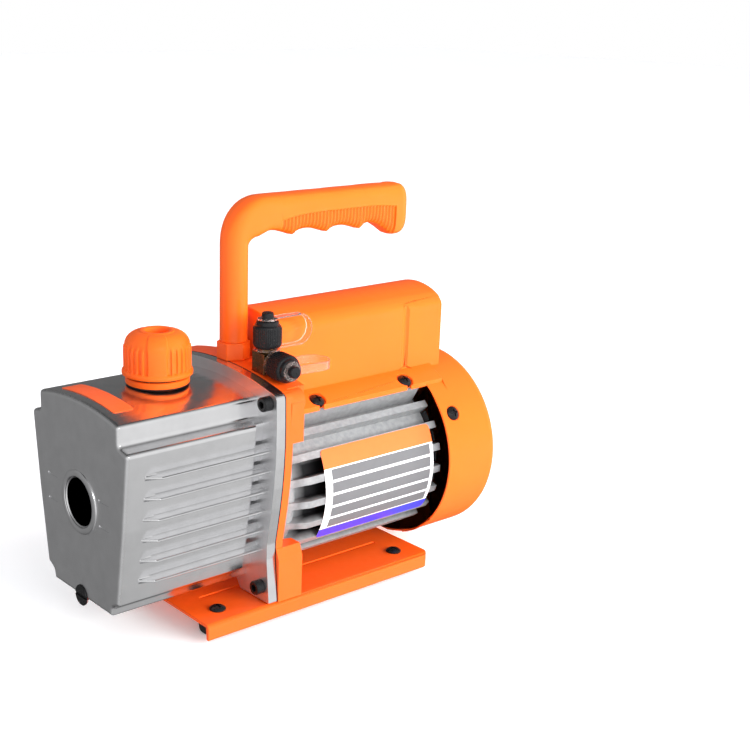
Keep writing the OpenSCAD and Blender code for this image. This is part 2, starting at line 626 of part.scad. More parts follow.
// one cooling fin at angle a above the horizontal, on the -Y side
module fin(a) translate([0, 0, axis_h]) rotate([-a, 0, 0]) translate([0, 0, -fin_t / 2])
  linear_extrude(fin_t) polygon([[56, 0.25 - tube_out], [56, -45.6], [74, -fin_r],
    [fin_x1, -fin_r], [fin_x1, 0.25 - tube_out]]);
core_x = [86, 150];
slot_n = 12;
module stator_core() color([0.35, 0.36, 0.38]) difference() {
  rod_x(core_x[0], core_x[1], tube_in - fit, 0, axis_h, 96);
  rod_x(core_x[0] - 1, core_x[1] + 1, 24.4, 0, axis_h, 96);
  for (a = [0:360 / slot_n:359]) translate([0, 0, axis_h]) rotate([a, 0, 0])
    box([core_x[0] - 1, -3.4, 26.5], [core_x[1] + 1, 3.4, 34.5]);
}
module stator_windings() color([0.72, 0.38, 0.16]) union() {
  for (x = [core_x[0] - 13.4, core_x[1] + 0.4])
    turned_x([[27.2, 1], [28.2, 0], [36.6, 0], [38, 1.4], [38, 11.6], [36.6, 13],
              [28.2, 13], [27.2, 12]], x);
  for (a = [0:360 / slot_n:359]) translate([0, 0, axis_h]) rotate([a, 0, 0])
    box([core_x[0] - 2, -3.1, 27.4], [core_x[1] + 2, 3.1, 34.2]);
}
module rotor_core() color([0.55, 0.56, 0.58]) difference() {
  union() {
    rod_x(core_x[0], core_x[1], 24, 0, axis_h, 96);
    for (x = [core_x[0] - 5, core_x[1]]) rod_x(x, x + 5, 22.6, 0, axis_h, 96);
    for (a = [0:40:359], x = [core_x[0] - 9, core_x[1] + 5]) translate([0, 0, axis_h])
      rotate([a, 0, 0]) box([x, -1, 17], [x + 4, 1, 21.6]);
  }
  rod_x(core_x[0] - 10, core_x[1] + 10, mshaft_r + fit);
}
module motor_shaft() color([0.6, 0.6, 0.62]) difference() {
  union() {
    rod_x(44.4, 213, mshaft_r);
    rod_x(70, 80, 9.4);
  }
  // flat for the fan
  box([197, -8, axis_h + 6], [214, 8, axis_h + 9]);
}
module ball_bearing(x, r0, r1, w) {
  turned_x([[r0, 0.3], [r0 + 0.3, 0], [r0 + 2, 0], [r0 + 2, 1], [r1 - 2, 1], [r1 - 2, 0],
            [r1 - 0.3, 0], [r1, 0.3], [r1, w - 0.3], [r1 - 0.3, w], [r1 - 2, w],
            [r1 - 2, w - 1], [r0 + 2, w - 1], [r0 + 2, w], [r0 + 0.3, w], [r0, w - 0.3]], x);
}
module front_bearing() color([0.7, 0.7, 0.72]) ball_bearing(56.2, mshaft_r + fit, 16, 9);
module rear_bearing() color([0.7, 0.7, 0.72]) ball_bearing(183, mshaft_r + fit, 13, 8);
module end_bell() color([0.16, 0.16, 0.17]) difference() {
  union() {
    turned_x([[13.05, 4], [13.05, 16], [17, 16], [17, 11], [47.5, 11], [47.5, 9.4], [42.9, 9.4],
              [42.9, 0.3], [38, 0.3], [38, 7], [15, 7], [15, 4]], tube_x1);
    // blocks between the fins
    both() for (a = [for (k = [-4:3]) -11.2 + k * fin_step]) translate([0, 0, axis_h])
      rotate([-a, 0, 0]) box([tube_x1 + 0.4, -47.2, -3.2], [tube_x1 + 10, -42, 3.2]);
    intersection() {
      for (a = [side_screw_a, 180 - side_screw_a, 270]) radial(side_screw_x + 1.4, a, 40)
        cylinder(r = 5, h = 17, $fn = 48);
      rod_x(fin_x1 + gap, 200, 60);
    }
  }
  rod_x(170, 183.02, mshaft_r + 2);
  rod_x(183, 200, 13.05);
  for (a = [side_screw_a, 180 - side_screw_a, 270]) radial(side_screw_x, a, 44)
    cylinder(r = 1.75, h = 20, $fn = 32);
  for (a = [0:45:359]) rod_x(tube_x1 - 1, 200, 5.5, 28 * cos(a), axis_h + 28 * sin(a), 48);
  // room for the shaft's bearing seat and the fan side
  rod_x(193.2, 200, 60);
}
module cooling_fan() color([0.08, 0.08, 0.085]) difference() {
  union() {
    turned_x([[7.2, 0], [13, 0], [13, 9], [11.5, 14], [7.2, 14]], 198);
    turned_x([[12, 0], [50, 0], [50, 1.6], [12, 1.6]], 198);
    for (a = [0:360 / 9:359]) translate([198, 0, axis_h]) rotate([a, 0, 0])
      box([0, -1, 12], [13, 1, 49]);
  }
  rod_x(197, 216, mshaft_r + fit);
}

// ---------------------------------------------------------------- motor cover
module box_outline(inset = 0) intersection() {
  translate([0, box_top - 40]) circle(r = 40 - inset, $fn = 180);
  union() for (m = [0, 1]) mirror([m, 0]) polygon([
    [0, 90], [box_half - inset, 90], [box_half - inset, 161.6 - inset * 0.5],
    [box_half - 0.8 - inset, 164.6 - inset * 0.7], [box_half - 3 - inset, 167.2 - inset * 0.8],
    [box_half - 6 - inset, 169 - inset * 0.8], [0, 180]]);
}
module motor_cover() color([0.98, 0.45, 0.05]) difference() {
  union() {
    // shelf: a slice of tube over the motor, running out on the fan cover
    intersection() {
      rod_x(66.8, 192, shelf_r, 0, axis_h, 360);
      box([60, -shelf_half, axis_h + 30], [193, shelf_half, 200]);
    }
    // fan cover with a rounded rear edge
    turned_x(concat([[0, 0], [cover_r, 0]],
      [for (a = [0:15:90]) [cover_r - 6 + 6 * cos(a), cover_x1 - cover_x0 - 6 + 6 * sin(a)]],
      [[0, cover_x1 - cover_x0]]), cover_x0, axis_h, 0, 180);
    difference() {
      along_x(66.8, box_x1) box_outline();
      rod_x(60, 210, 56, 0, axis_h, 96);
    }
  }
  // inside of the shelf and of the fan cover
  rod_x(60, cover_x0 + eps, shelf_r - 2.3, 0, axis_h, 360);
  turned_x(concat([[0, -1], [cover_r - cover_t, -1]],
    [for (a = [0:15:90]) [cover_r - 6 + 4 * cos(a), cover_x1 - cover_x0 - 6 + 4 * sin(a)]],
    [[0, cover_x1 - cover_x0 - 2]]), cover_x0, axis_h, 0, 180);
  // inside of the box
  difference() {
    along_x(66.8 + cover_t, box_x1 - cover_t) box_outline(cover_t);
    rod_x(cover_x0 - 2, 210, cover_r, 0, axis_h, 180);
  }
  // screw seats with their notches
  both() for (x = cover_screw_x) {
    radial(x, cover_screw_a, 56.6) cylinder(r = 2.3, h = 12, $fn = 32);
    radial(x, cover_screw_a, 59.6) cylinder(r = 5.3, h = 12, $fn = 48);
    box([x - 1.7, -40, 110], [x + 1.7, -33, 122]);
  }
  for (a = [side_screw_a, 180 - side_screw_a, 270]) {
    radial(side_screw_x, a, 50) cylinder(r = 2, h = 20, $fn = 32);
    radial(side_screw_x, a, 58.5) cylinder(r = 4.9, h = 20, $fn = 48);
  }
  // half-round groove on both walls of the box
  both() rod_z(126, 175, 3.2, 170.5, -box_half - 2.1, 48);
  // openings in the rear wall
  box([box_x1 - 4, -13.7, 133.4], [box_x1 + 1, 13.7, 153.4]);
  box([box_x1 - 4, -9.7, 156.3], [box_x1 + 1, 9.7, 168.1]);
  // fan grille: rings of slots
  for (r = [12:8.5:47], a = [0:90:359]) translate([cover_x1 - 4, 0, axis_h]) rotate([0, 90, 0])
    rotate([0, 0, a + 7]) rotate_extrude(angle = 76, $fn = 120) translate([r, -1]) square([4.2, 8]);
}
module cover_screws() color([0.06, 0.06, 0.065]) union() {
  both() for (x = cover_screw_x) radial(x, cover_screw_a, 59.6) cross_screw(4.5, 2.7, 1.9, 10);
  for (a = [side_screw_a, 180 - side_screw_a, 270])
    radial(side_screw_x, a, 58.5) cross_screw(4.5, 2.5, 1.7, 11);
}
module nameplate() color([0.55, 0.56, 0.58])
  translate([85.3, 0, axis_h]) rotate([0, 90, 0]) rotate([0, 0, -120.5])
    rotate_extrude(angle = 65, $fn = 240) translate([fin_r + 0.09, 0]) square([0.4, 86.7]);

// ---------------------------------------------------------------- electrics
module capacitor() color([0.12, 0.13, 0.16]) union() {
  turned_x([[0, 0], [13.8, 0], [15, 1.2], [15, 56], [14.2, 57], [0, 57]], 88, 138);
  for (s = [-6, 6]) box([144.8, s - 0.4, 135], [153, s + 0.4, 141]);
}
module capacitor_clip() color([0.7, 0.7, 0.72]) difference() {
  union() {
    turned_x([[15.05, 0], [16.2, 0], [16.2, 12], [15.05, 12]], 112, 138);
    box([112, -8, 112.2], [124, 8, 123.2]);
  }
  rod_x(100, 140, 15.05, 0, 138);
  rod_x(100, 140, tube_out + fit, 0, axis_h, 96);
}
module switch_bezel() color([0.05, 0.05, 0.055]) difference() {
  union() {
    along_x(box_x1 + 0.02, box_x1 + 1.8) translate([0, 162.2]) rrect(21, 13.4, 1.6);
    box([box_x1 - 16, -9.5, 156.5], [box_x1 + 0.1, 9.5, 167.9]);
    for (s = [-5.5, 0, 5.5]) box([box_x1 - 23, s - 0.4, 159], [box_x1 - 15.9, s + 0.4, 164]);
  }
  box([box_x1 - 9, -8.2, 157.6], [box_x1 + 3, 8.2, 166.8]);
}
// rocker drawn at rest in its OFF position, pressed in on the -Y side
module rocker_switch() color([0.75, 0.06, 0.05]) translate([box_x1 - 1.5, 0, 162.2])
  rotate([0, 0, -8]) intersection() {
    union() {
      translate([0, 0, -4.3]) linear_extrude(8.6) polygon([[-2, -3], [-2, 3], [1.6, 7.5],
        [3.4, 7.5], [2.4, 0], [3.4, -7.5], [1.6, -7.5]]);
      translate([0, 0, -4.3]) cylinder(r = 2.6, h = 8.6, $fn = 48);
    }
    translate([0, 0, -6]) cylinder(r = 8, h = 12, $fn = 96);
  }
module power_inlet() color([0.05, 0.05, 0.055]) difference() {
  union() {
    along_x(box_x1 + 0.02, box_x1 + 2.6) translate([0, 143.4]) rrect(30.6, 23, 2.4);
    box([box_x1 - 19, -13.5, 133.6], [box_x1 + 0.1, 13.5, 153.2]);
  }
  // shaped cavity with two cut corners
  along_x(box_x1 - 15, box_x1 + 4) polygon([[-12, 135.2], [12, 135.2], [12, 147.2], [8, 151.4],
                                            [-8, 151.4], [-12, 147.2]]);
  for (p = [[-7, 145], [0, 139.4], [7, 145]]) box([box_x1 - 25, p[0] - 1.1, p[1] - 2.1],
                                                  [box_x1 - 10, p[0] + 1.1, p[1] + 2.1]);
}
module inlet_pins() color([0.78, 0.76, 0.7])
  for (p = [[-7, 145], [0, 139.4], [7, 145]]) box([box_x1 - 26, p[0] - 1, p[1] - 2],
                                                  [box_x1 - 3.6, p[0] + 1, p[1] + 2]);
module wire(a, b, r = 1.4) {
  d = b - a; l = norm(d);
  translate(a) rotate([0, acos(d[2] / l), atan2(d[1], d[0])]) cylinder(r = r, h = l, $fn = 24);
}
module wiring() color([0.6, 0.08, 0.06]) union() {
  for (s = [-1, 1]) {
    wire([154, s * 6, 138], [168, s * 7, 145]);
    wire([168, s * 7, 145], [173.6, s * 7, 145]);
    translate([168, s * 7, 145]) sphere(r = 1.7, $fn = 24);
    wire([158, s * 2, 132], [158, s * 2, 109]);
    translate([158, s * 2, 132]) sphere(r = 1.7, $fn = 24);
    wire([158, s * 2, 132], [157, s * 6, 139.5]);
  }
}

// ---------------------------------------------------------------- pump inside the tank
module stack_holes() for (a = diagonals)
  rod_x(-20, 60, 2.65, bolt_pc * cos(a), axis_h + bolt_pc * sin(a), 32);
module pump_plates() color([0.5, 0.51, 0.53]) difference() {
  union() for (i = [0, 2, 4]) rod_x(pump_x[i], pump_x[i + 1], pump_r, 0, axis_h, 96);
  rod_x(-9, 60, pshaft_r + fit);
  rod_x(39.2, 60, 12.5);
  stack_holes();
}
module pump_cylinders() color([0.56, 0.57, 0.6]) difference() {
  union() {
    for (i = [1, 3]) rod_x(pump_x[i] + 0.02, pump_x[i + 1] - 0.02, pump_r, 0, axis_h, 96);
    box([pump_x[1] + 0.02, -9, axis_h + 28], [pump_x[2] - 0.02, 9, axis_h + pump_r + 2]);
    rod_z(80, 88, 6, 22.2, tube_y);
  }
  for (i = [1, 3]) rod_x(pump_x[i] - 1, pump_x[i + 1] + 1, bore_r, 0, axis_h - bore_drop, 120);
  rod_z(axis_h + 10, axis_h + 40, 2.4, -0.8, 4);
  rod_z(axis_h, 104, 3.55, 22.2, tube_y);
  rod_y(tube_y, -20, 2.4, 22.2, axis_h + 3);
  stack_holes();
}
module pump_rotors() color([0.68, 0.68, 0.7]) difference() {
  for (i = [1, 3]) rod_x(pump_x[i] + 0.12, pump_x[i + 1] - 0.12, rotor_r, 0, axis_h, 120);
  rod_x(-20, 60, pshaft_r + fit);
  for (i = [1, 3], a = [90, 270]) translate([0, 0, axis_h]) rotate([a, 0, 0])
    box([pump_x[i] - 1, -2.1, 8], [pump_x[i + 1] + 1, 2.1, 22]);
}
module vanes() color([0.2, 0.17, 0.13])
  for (i = [1, 3], a = [90, 270]) translate([0, 0, axis_h]) rotate([a, 0, 0])
    box([pump_x[i] + 0.15, -2.05, 10.4], [pump_x[i + 1] - 0.15, 2.05, 18.4]);
module pump_shaft() color([0.62, 0.62, 0.64]) rod_x(-8.9, 44, pshaft_r);
module shaft_coupling() color([0.45, 0.45, 0.47]) difference() {
  rod_x(40, 48.8, 11.6);
  rod_x(39, 44.2, pshaft_r + fit);
  rod_x(44.1, 50, mshaft_r + fit);
}
module shaft_seal() color([0.08, 0.08, 0.08])
  turned_x([[mshaft_r + fit, 0], [13, 0], [13, 6], [11.6, 6], [11.6, 1.6], [9, 1.6], [8, 4.6],
            [mshaft_r + fit, 4.6]], brk_x0 + 0.1);
module pump_bolts() color([0.1, 0.1, 0.11]) union() {
  for (a = diagonals)
    translate([pump_x[0] - 5.02, bolt_pc * cos(a), axis_h + bolt_pc * sin(a)])
      socket_screw(4.2, 5, 2.5, 66.5, 2);
  for (a = diagonals) translate([brk_x0 - 4.02, motor_pc * cos(a), axis_h + motor_pc * sin(a)])
    socket_screw(3.5, 4, 1.9, 9.6, 1.5);
}
module discharge_valve() color([0.65, 0.66, 0.7]) translate([-0.8, 0, axis_h + pump_r + 2.02]) {
  translate([-4, -8, 0]) cube([8, 15, 0.4]);
  translate([-4, -8, 0.42]) cube([8, 5, 1.2]);
  translate([-4, -3.4, 1.2]) rotate([14, 0, 0]) cube([8, 10, 0.8]);
}
module intake_tube() color([0.75, 0.45, 0.25]) union() {
  difference() {
    union() {
      rod_x(22.2, brk_x0 - 0.02, 3.5, tube_y, 108.6);
      rod_z(84.4, 108.6, 3.5, 22.2, tube_y);
      translate([22.2, tube_y, 108.6]) sphere(r = 3.5, $fn = 48);
    }
    rod_x(22.2, 60, 2.6, tube_y, 108.6);
    rod_z(80, 108.6, 2.6, 22.2, tube_y);
    translate([22.2, tube_y, 108.6]) sphere(r = 2.6, $fn = 48);
  }
}

translate([-x_mid, 0, 0]) {
  base_plate();
  rubber_feet();
  foot_screws();
  foot_nuts();
  bracket();
  bracket_bolts();
  oil_tank();
  tank_gasket();
  flange_bolts();
  tank_label();
  sight_glass();
  sight_glass_ring();
  sight_glass_seal();
  drain_plug();
  drain_plug_seal();
  filler_neck();
  filler_neck_seal();
  oil_cap();
  oil_cap_seal();
  exhaust_filter();
  handle();
  handle_nut();
  intake_fitting();
  intake_screen();
  intake_cap_top();
  intake_seal_top();
  intake_cap_side();
  intake_seal_side();
  cap_strap_top();
  cap_strap_side();
  stator_housing();
  stator_core();
  stator_windings();
  rotor_core();
  motor_shaft();
  front_bearing();
  rear_bearing();
  end_bell();
  cooling_fan();
  motor_cover();
  cover_screws();
  nameplate();
  capacitor();
  capacitor_clip();
  switch_bezel();
  rocker_switch();
  power_inlet();
  inlet_pins();
  wiring();
  pump_plates();
  pump_cylinders();
  pump_rotors();
  vanes();
  pump_shaft();
  shaft_coupling();
  shaft_seal();
  pump_bolts();
  discharge_valve();
  intake_tube();
}
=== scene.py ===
"""Looks of the vacuum pump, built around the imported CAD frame.

Lengths in this script are millimetres, measured from the base plate's front edge along X,
and from the floor along Z; at() turns them into the frame's metres."""

import json
import math

import bmesh
import bpy
from mathutils import Matrix, Vector
from mathutils.bvhtree import BVHTree

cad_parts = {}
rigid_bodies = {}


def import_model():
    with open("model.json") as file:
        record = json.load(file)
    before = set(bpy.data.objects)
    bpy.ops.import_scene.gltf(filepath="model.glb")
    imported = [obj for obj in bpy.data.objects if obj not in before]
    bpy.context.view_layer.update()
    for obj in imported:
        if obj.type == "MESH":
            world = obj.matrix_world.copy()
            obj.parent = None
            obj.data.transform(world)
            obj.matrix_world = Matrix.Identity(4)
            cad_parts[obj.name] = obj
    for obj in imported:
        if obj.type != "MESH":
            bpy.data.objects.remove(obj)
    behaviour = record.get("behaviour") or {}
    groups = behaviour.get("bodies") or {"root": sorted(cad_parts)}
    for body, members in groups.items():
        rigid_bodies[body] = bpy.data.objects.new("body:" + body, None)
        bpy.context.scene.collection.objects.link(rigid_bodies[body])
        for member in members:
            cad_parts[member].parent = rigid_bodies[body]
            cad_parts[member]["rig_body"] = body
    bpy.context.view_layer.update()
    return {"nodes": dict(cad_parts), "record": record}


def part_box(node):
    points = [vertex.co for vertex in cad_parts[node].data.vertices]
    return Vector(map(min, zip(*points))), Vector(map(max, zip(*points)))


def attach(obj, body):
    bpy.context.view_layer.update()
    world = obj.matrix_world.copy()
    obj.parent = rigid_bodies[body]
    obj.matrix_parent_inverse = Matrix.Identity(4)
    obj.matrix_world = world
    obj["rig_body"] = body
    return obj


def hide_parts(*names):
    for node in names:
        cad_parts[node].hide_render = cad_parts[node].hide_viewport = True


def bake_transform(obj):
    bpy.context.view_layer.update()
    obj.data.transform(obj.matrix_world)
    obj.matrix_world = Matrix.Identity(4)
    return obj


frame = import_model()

MM = 0.001
FRONT_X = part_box("base_plate")[0].x     # the base plate's front edge in the frame
AXIS_Z = 68.4                           # height of the motor's axis
SCENE = bpy.context.scene
SLOT_OF = {s["node"]: s["material_slot"] for s in frame["record"]["subparts"]}


def at(x, y, z):
    """A point in the frame, from millimetres behind the base's front edge, across and up."""
    return Vector((FRONT_X + x * MM, y * MM, z * MM))


# ------------------------------------------------------------------ camera
def add_camera():
    yaw, pitch, roll = (math.radians(a) for a in (-39.24, 17.28, 1.15))
    back = Vector((math.sin(yaw) * math.cos(pitch), -math.cos(yaw) * math.cos(pitch),
                   math.sin(pitch)))
    right = (-back).cross(Vector((0, 0, 1))).normalized()
    up = right.cross(-back)
    level = right * math.cos(roll) + up * math.sin(roll)
    upright = up * math.cos(roll) - right * math.sin(roll)
    data = bpy.data.cameras.new("camera")
    data.sensor_width, data.lens = 36, 63.2
    data.shift_x, data.shift_y = 0.106, 0.0342
    camera = bpy.data.objects.new("camera", data)
    SCENE.collection.objects.link(camera)
    turn = Matrix((level, upright, back)).transposed().to_4x4()
    eye = Vector((-0.4651, -0.5901, 0.3472))
    camera.matrix_world = Matrix.Translation(eye) @ turn
    SCENE.camera = camera


# ------------------------------------------------------------------ materials
class Shader:
    """A procedural material around one Principled shader."""

    def __init__(self, name, color, rough, metal=0.0, **sockets):
        self.material = bpy.data.materials.new(name)
        self.material.use_nodes = True
        self.tree = self.material.node_tree
        self.shader = self.tree.nodes["Principled BSDF"]
        self.color, self.rough = color, rough
        self.shader.inputs["Base Color"].default_value = (*color, 1)
        self.shader.inputs["Roughness"].default_value = rough
        self.shader.inputs["Metallic"].default_value = metal
        for socket, value in sockets.items():
            self.shader.inputs[socket.replace("_", " ")].default_value = value
        self.place = self.add("TexCoord").outputs["Object"]

    def add(self, kind, **settings):
        node = self.tree.nodes.new("ShaderNode" + kind)
        for key, value in settings.items():
            setattr(node, key, value)
        return node

    def link(self, source, target):
        self.tree.links.new(source, target)

    def stretched(self, scale):
        """The object's coordinates, scaled apart along X, Y and Z."""
        mapping = self.add("Mapping")
        mapping.inputs["Scale"].default_value = scale
        self.link(self.place, mapping.inputs["Vector"])
        return mapping.outputs["Vector"]

    def noise(self, size, detail=2.0, stretch=None):
        """Noise with features about size millimetres wide."""
        node = self.add("TexNoise")
        node.inputs["Scale"].default_value = 1 / (size * MM)
        node.inputs["Detail"].default_value = detail
        self.link(self.stretched(stretch) if stretch else self.place, node.inputs["Vector"])
        return node.outputs["Fac"]

    def spread(self, value, low, high, start=0.3, end=0.7):
        """A value from start to end, spread from low to high."""
        node = self.add("MapRange")
        for key, number in (("From Min", start), ("From Max", end), ("To Min", low),
                            ("To Max", high)):
            node.inputs[key].default_value = number
        self.link(value, node.inputs["Value"])
        return node.outputs["Result"]

    def mix(self, factor, first, second):
        node = self.add("Mix", data_type="RGBA")
        self.link(factor, node.inputs["Factor"])
        for socket, value in ((node.inputs[6], first), (node.inputs[7], second)):
            if isinstance(value, tuple):
                socket.default_value = (*value, 1)
            else:
                self.link(value, socket)
        return node.outputs[2]

    def tones(self, size, amount, detail=3.0, stretch=None):
        """Colour that drifts by amount over patches about size millimetres wide."""
        darker = tuple(c * (1 - amount) for c in self.color)
        lighter = tuple(min(1, c * (1 + amount)) for c in self.color)
        factor = self.spread(self.noise(size, detail, stretch), 0, 1)
        self.paint(self.mix(factor, darker, lighter))
        return self

    def paint(self, color):
        self.link(color, self.shader.inputs["Base Color"])
        self.painted = color
        return self

    def gloss(self, size, amount, stretch=None):
        """Roughness that drifts by amount either way."""
        value = self.spread(self.noise(size, 3.0, stretch), self.rough - amount,
                            self.rough + amount)
        self.link(value, self.shader.inputs["Roughness"])
        return self

    def grain(self, size, depth, detail=2.0, stretch=None):
        """Relief of depth millimetres and about size millimetres wide."""
        bump = self.add("Bump")
        bump.inputs["Strength"].default_value = 1.0
        bump.inputs["Distance"].default_value = depth * MM
        self.link(self.noise(size, detail, stretch), bump.inputs["Height"])
        self.link(bump.outputs["Normal"], self.shader.inputs["Normal"])
        return self

    def worn(self, bare, low=0.56, high=0.62):
        """Convex edges wear to the bare colour."""
        pointed = self.add("NewGeometry").outputs["Pointiness"]
        patches = self.spread(self.noise(2.5, 4.0), 0.25, 1)
        edge = self.add("Math", operation="MULTIPLY")
        self.link(self.spread(pointed, 0, 1, low, high), edge.inputs[0])
        self.link(patches, edge.inputs[1])
        self.paint(self.mix(edge.outputs[0], self.painted, bare))
        return self


ORANGE = (0.94, 0.125, 0.008)


def orange_plastic():
    return Shader("orange_plastic", ORANGE, 0.34, Specular_IOR_Level=0.3).tones(38, 0.03).gloss(
        6, 0.04).grain(0.7, 0.012)


def orange_paint():
    return Shader("orange_paint", (0.93, 0.10, 0.008), 0.34, Specular_IOR_Level=0.35).tones(
        24, 0.04).gloss(4, 0.05).grain(0.5, 0.014)


def orange_label():
    return Shader("orange_label", (0.95, 0.12, 0.022), 0.42).tones(8, 0.03).gloss(
        2, 0.05).grain(0.3, 0.004)


def cast_aluminium():
    """Bright casting: its front face blasted, and every other face polished."""
    s = Shader("cast_aluminium", (0.82, 0.82, 0.83), 0.3, 1.0).tones(9, 0.03)
    normal = s.add("NewGeometry").outputs["True Normal"]
    parts = s.add("SeparateXYZ")
    s.link(normal, parts.inputs[0])
    facing = s.spread(parts.outputs["X"], 0.46, 0.22, -0.95, -0.5)
    drift = s.spread(s.noise(5, 4.0), -0.03, 0.03)
    total = s.add("Math", operation="ADD")
    s.link(facing, total.inputs[0])
    s.link(drift, total.inputs[1])
    s.link(total.outputs[0], s.shader.inputs["Roughness"])
    return s.grain(0.45, 0.006)


def motor_casting():
    """Grey fins with painted shade, near black, between their roots, except high up and at the
    front, where they are left plain grey.
    """
    s = Shader("motor_casting", (0.34, 0.345, 0.35), 0.42, 0.35)
    spot = s.add("SeparateXYZ")
    s.link(s.place, spot.inputs[0])
    lift = s.add("Math", operation="SUBTRACT")
    s.link(spot.outputs["Z"], lift.inputs[0])
    lift.inputs[1].default_value = AXIS_Z * MM
    flat = s.add("CombineXYZ")
    s.link(spot.outputs["Y"], flat.inputs["X"])
    s.link(lift.outputs[0], flat.inputs["Y"])
    radius = s.add("VectorMath", operation="LENGTH")
    s.link(flat.outputs[0], radius.inputs[0])
    # painted shade: depth, low and front mark where the fins stay grey; elsewhere the roots between
    # the fins are painted near black, where shade falls
    depth = s.spread(radius.outputs["Value"], 0, 1, 45.5 * MM, 50.6 * MM)
    low = s.spread(spot.outputs["Z"], 0, 1, 86 * MM, 92 * MM)
    front = s.spread(spot.outputs["X"], 1, 0, at(63, 0, 0).x, at(76, 0, 0).x)
    # bare here means left free of the painted shade, not unpainted metal
    bare = s.add("Math", operation="MAXIMUM")
    s.link(low, bare.inputs[0])
    s.link(front, bare.inputs[1])
    outside_painted_shade = s.add("Math", operation="MAXIMUM")
    s.link(depth, outside_painted_shade.inputs[0])
    s.link(bare.outputs[0], outside_painted_shade.inputs[1])
    grey = s.mix(s.spread(s.noise(3, 4.0), 0, 1), (0.27, 0.275, 0.28), (0.36, 0.365, 0.37))
    # painted shade: near-black colour in the fin roots, the grey casting colour elsewhere
    s.paint(s.mix(outside_painted_shade.outputs[0], (0.008, 0.008, 0.009), grey))
    return s.gloss(2, 0.06).grain(0.5, 0.012)


def black_oxide():
    return Shader("black_oxide", (0.010, 0.010, 0.011), 0.3, 0.3).tones(2, 0.2).gloss(
        1, 0.06).grain(0.3, 0.004).worn((0.06, 0.06, 0.065))


def black_plastic():
    return Shader("black_plastic", (0.007, 0.007, 0.008), 0.3, Specular_IOR_Level=0.4).tones(
        3, 0.15).gloss(1.5, 0.06).grain(0.35, 0.008)


def rubber_black():
    return Shader("rubber_black", (0.012, 0.012, 0.012), 0.7).tones(4, 0.2).gloss(
        2, 0.08).grain(0.4, 0.02)


def seal_red():
    return Shader("seal_red", (0.40, 0.03, 0.02), 0.55).tones(2, 0.1).grain(0.4, 0.01)


def zinc_steel():
    return Shader("zinc_steel", (0.62, 0.62, 0.64), 0.3, 1.0).tones(3, 0.08).gloss(
        1, 0.06).grain(0.4, 0.005)


def anodised_dark():
    return Shader("anodised_dark", (0.42, 0.42, 0.44), 0.28, 1.0).tones(3, 0.05).gloss(
        1.5, 0.05, (1, 1, 6)).grain(0.3, 0.004, stretch=(1, 1, 8))


def brass_dark():
    return Shader("brass_dark", (0.20, 0.12, 0.05), 0.3, 1.0).tones(2, 0.2).gloss(
        1, 0.06).grain(0.3, 0.005).worn((0.55, 0.38, 0.18))


def clear_glass():
    s = Shader("clear_glass", (0.42, 0.43, 0.44), 0.06, Transmission_Weight=0.35, IOR=1.45)
    return s.gloss(12, 0.012).grain(6, 0.004)


def clear_strap():
    s = Shader("clear_strap", (1.0, 0.86, 0.82), 0.06, Transmission_Weight=0.96, IOR=1.3)
    return s.tones(3, 0.03).gloss(2, 0.03).grain(2, 0.02)


def filter_fabric():
    return Shader("filter_fabric", (0.70, 0.66, 0.55), 0.9, Sheen_Weight=0.3).tones(
        2, 0.12).grain(0.3, 0.08)


def laminations():
    s = Shader("laminations", (0.28, 0.29, 0.31), 0.45, 0.9).tones(1.2, 0.2, 2.0, (12, 0.1, 0.1))
    return s.grain(0.6, 0.03, stretch=(3, 0.05, 0.05))


def copper():
    return Shader("copper", (0.62, 0.24, 0.09), 0.32, 1.0).tones(
        1.2, 0.25, 3.0, (1, 4, 4)).grain(1.0, 0.1, stretch=(1, 4, 4))


def machined(name, color, rough=0.3):
    """Turned or ground metal, with fine marks across X."""
    return Shader(name, color, rough, 1.0).tones(5, 0.06).gloss(
        1, 0.05, (10, 1, 1)).grain(0.5, 0.004, stretch=(10, 0.6, 0.6))


def bell_dark():
    return Shader("bell_dark", (0.035, 0.035, 0.037), 0.5, 0.4).tones(5, 0.2).gloss(
        3, 0.08).grain(0.8, 0.03)


def print_colour(name, color):
    """Printed foil: ink with a faint satin tooth."""
    return Shader(name, color, 0.35, Coat_Weight=0.2).tones(6, 0.025).gloss(
        2, 0.04).grain(0.4, 0.003)


def capacitor_shell():
    return Shader("capacitor_shell", (0.04, 0.045, 0.06), 0.35).tones(6, 0.1).gloss(
        2, 0.05).grain(0.5, 0.006)


def rocker_red():
    return Shader("rocker_red", (0.60, 0.02, 0.012), 0.25, Coat_Weight=0.4).tones(
        4, 0.04).gloss(2, 0.03).grain(0.6, 0.004)


def wire_insulation():
    return Shader("wire_insulation", (0.45, 0.02, 0.015), 0.45).tones(3, 0.08).grain(0.6, 0.01)


def vane_composite():
    return Shader("vane_composite", (0.09, 0.06, 0.035), 0.6).tones(
        0.8, 0.3, 3.0, (6, 1, 1)).grain(0.4, 0.01)


MAKERS = {
    "orange_plastic": orange_plastic, "orange_paint": orange_paint,
    "orange_label": orange_label, "cast_aluminium": cast_aluminium,
    "motor_casting": motor_casting, "rubber_black": rubber_black, "seal_red": seal_red,
    "black_oxide": black_oxide, "zinc_steel": zinc_steel, "black_plastic": black_plastic,
    "glass_clear": clear_glass, "anodised_dark": anodised_dark, "brass_dark": brass_dark,
    "clear_strap": clear_strap, "filter_fabric": filter_fabric, "laminations": laminations,
    "copper": copper, "rotor_metal": lambda: machined("rotor_metal", (0.50, 0.51, 0.53)),
    "shaft_steel": lambda: machined("shaft_steel", (0.58, 0.58, 0.60), 0.2),
    "bell_dark": bell_dark,
    "nameplate_print": lambda: print_colour("nameplate_print", (0.80, 0.80, 0.80)),
    "capacitor_shell": capacitor_shell, "rocker_red": rocker_red,
    "wire_insulation": wire_insulation,
    "pump_iron": lambda: machined("pump_iron", (0.38, 0.39, 0.41), 0.36),
    "vane_composite": vane_composite,
}
MATERIAL = {name: maker().material for name, maker in MAKERS.items()}


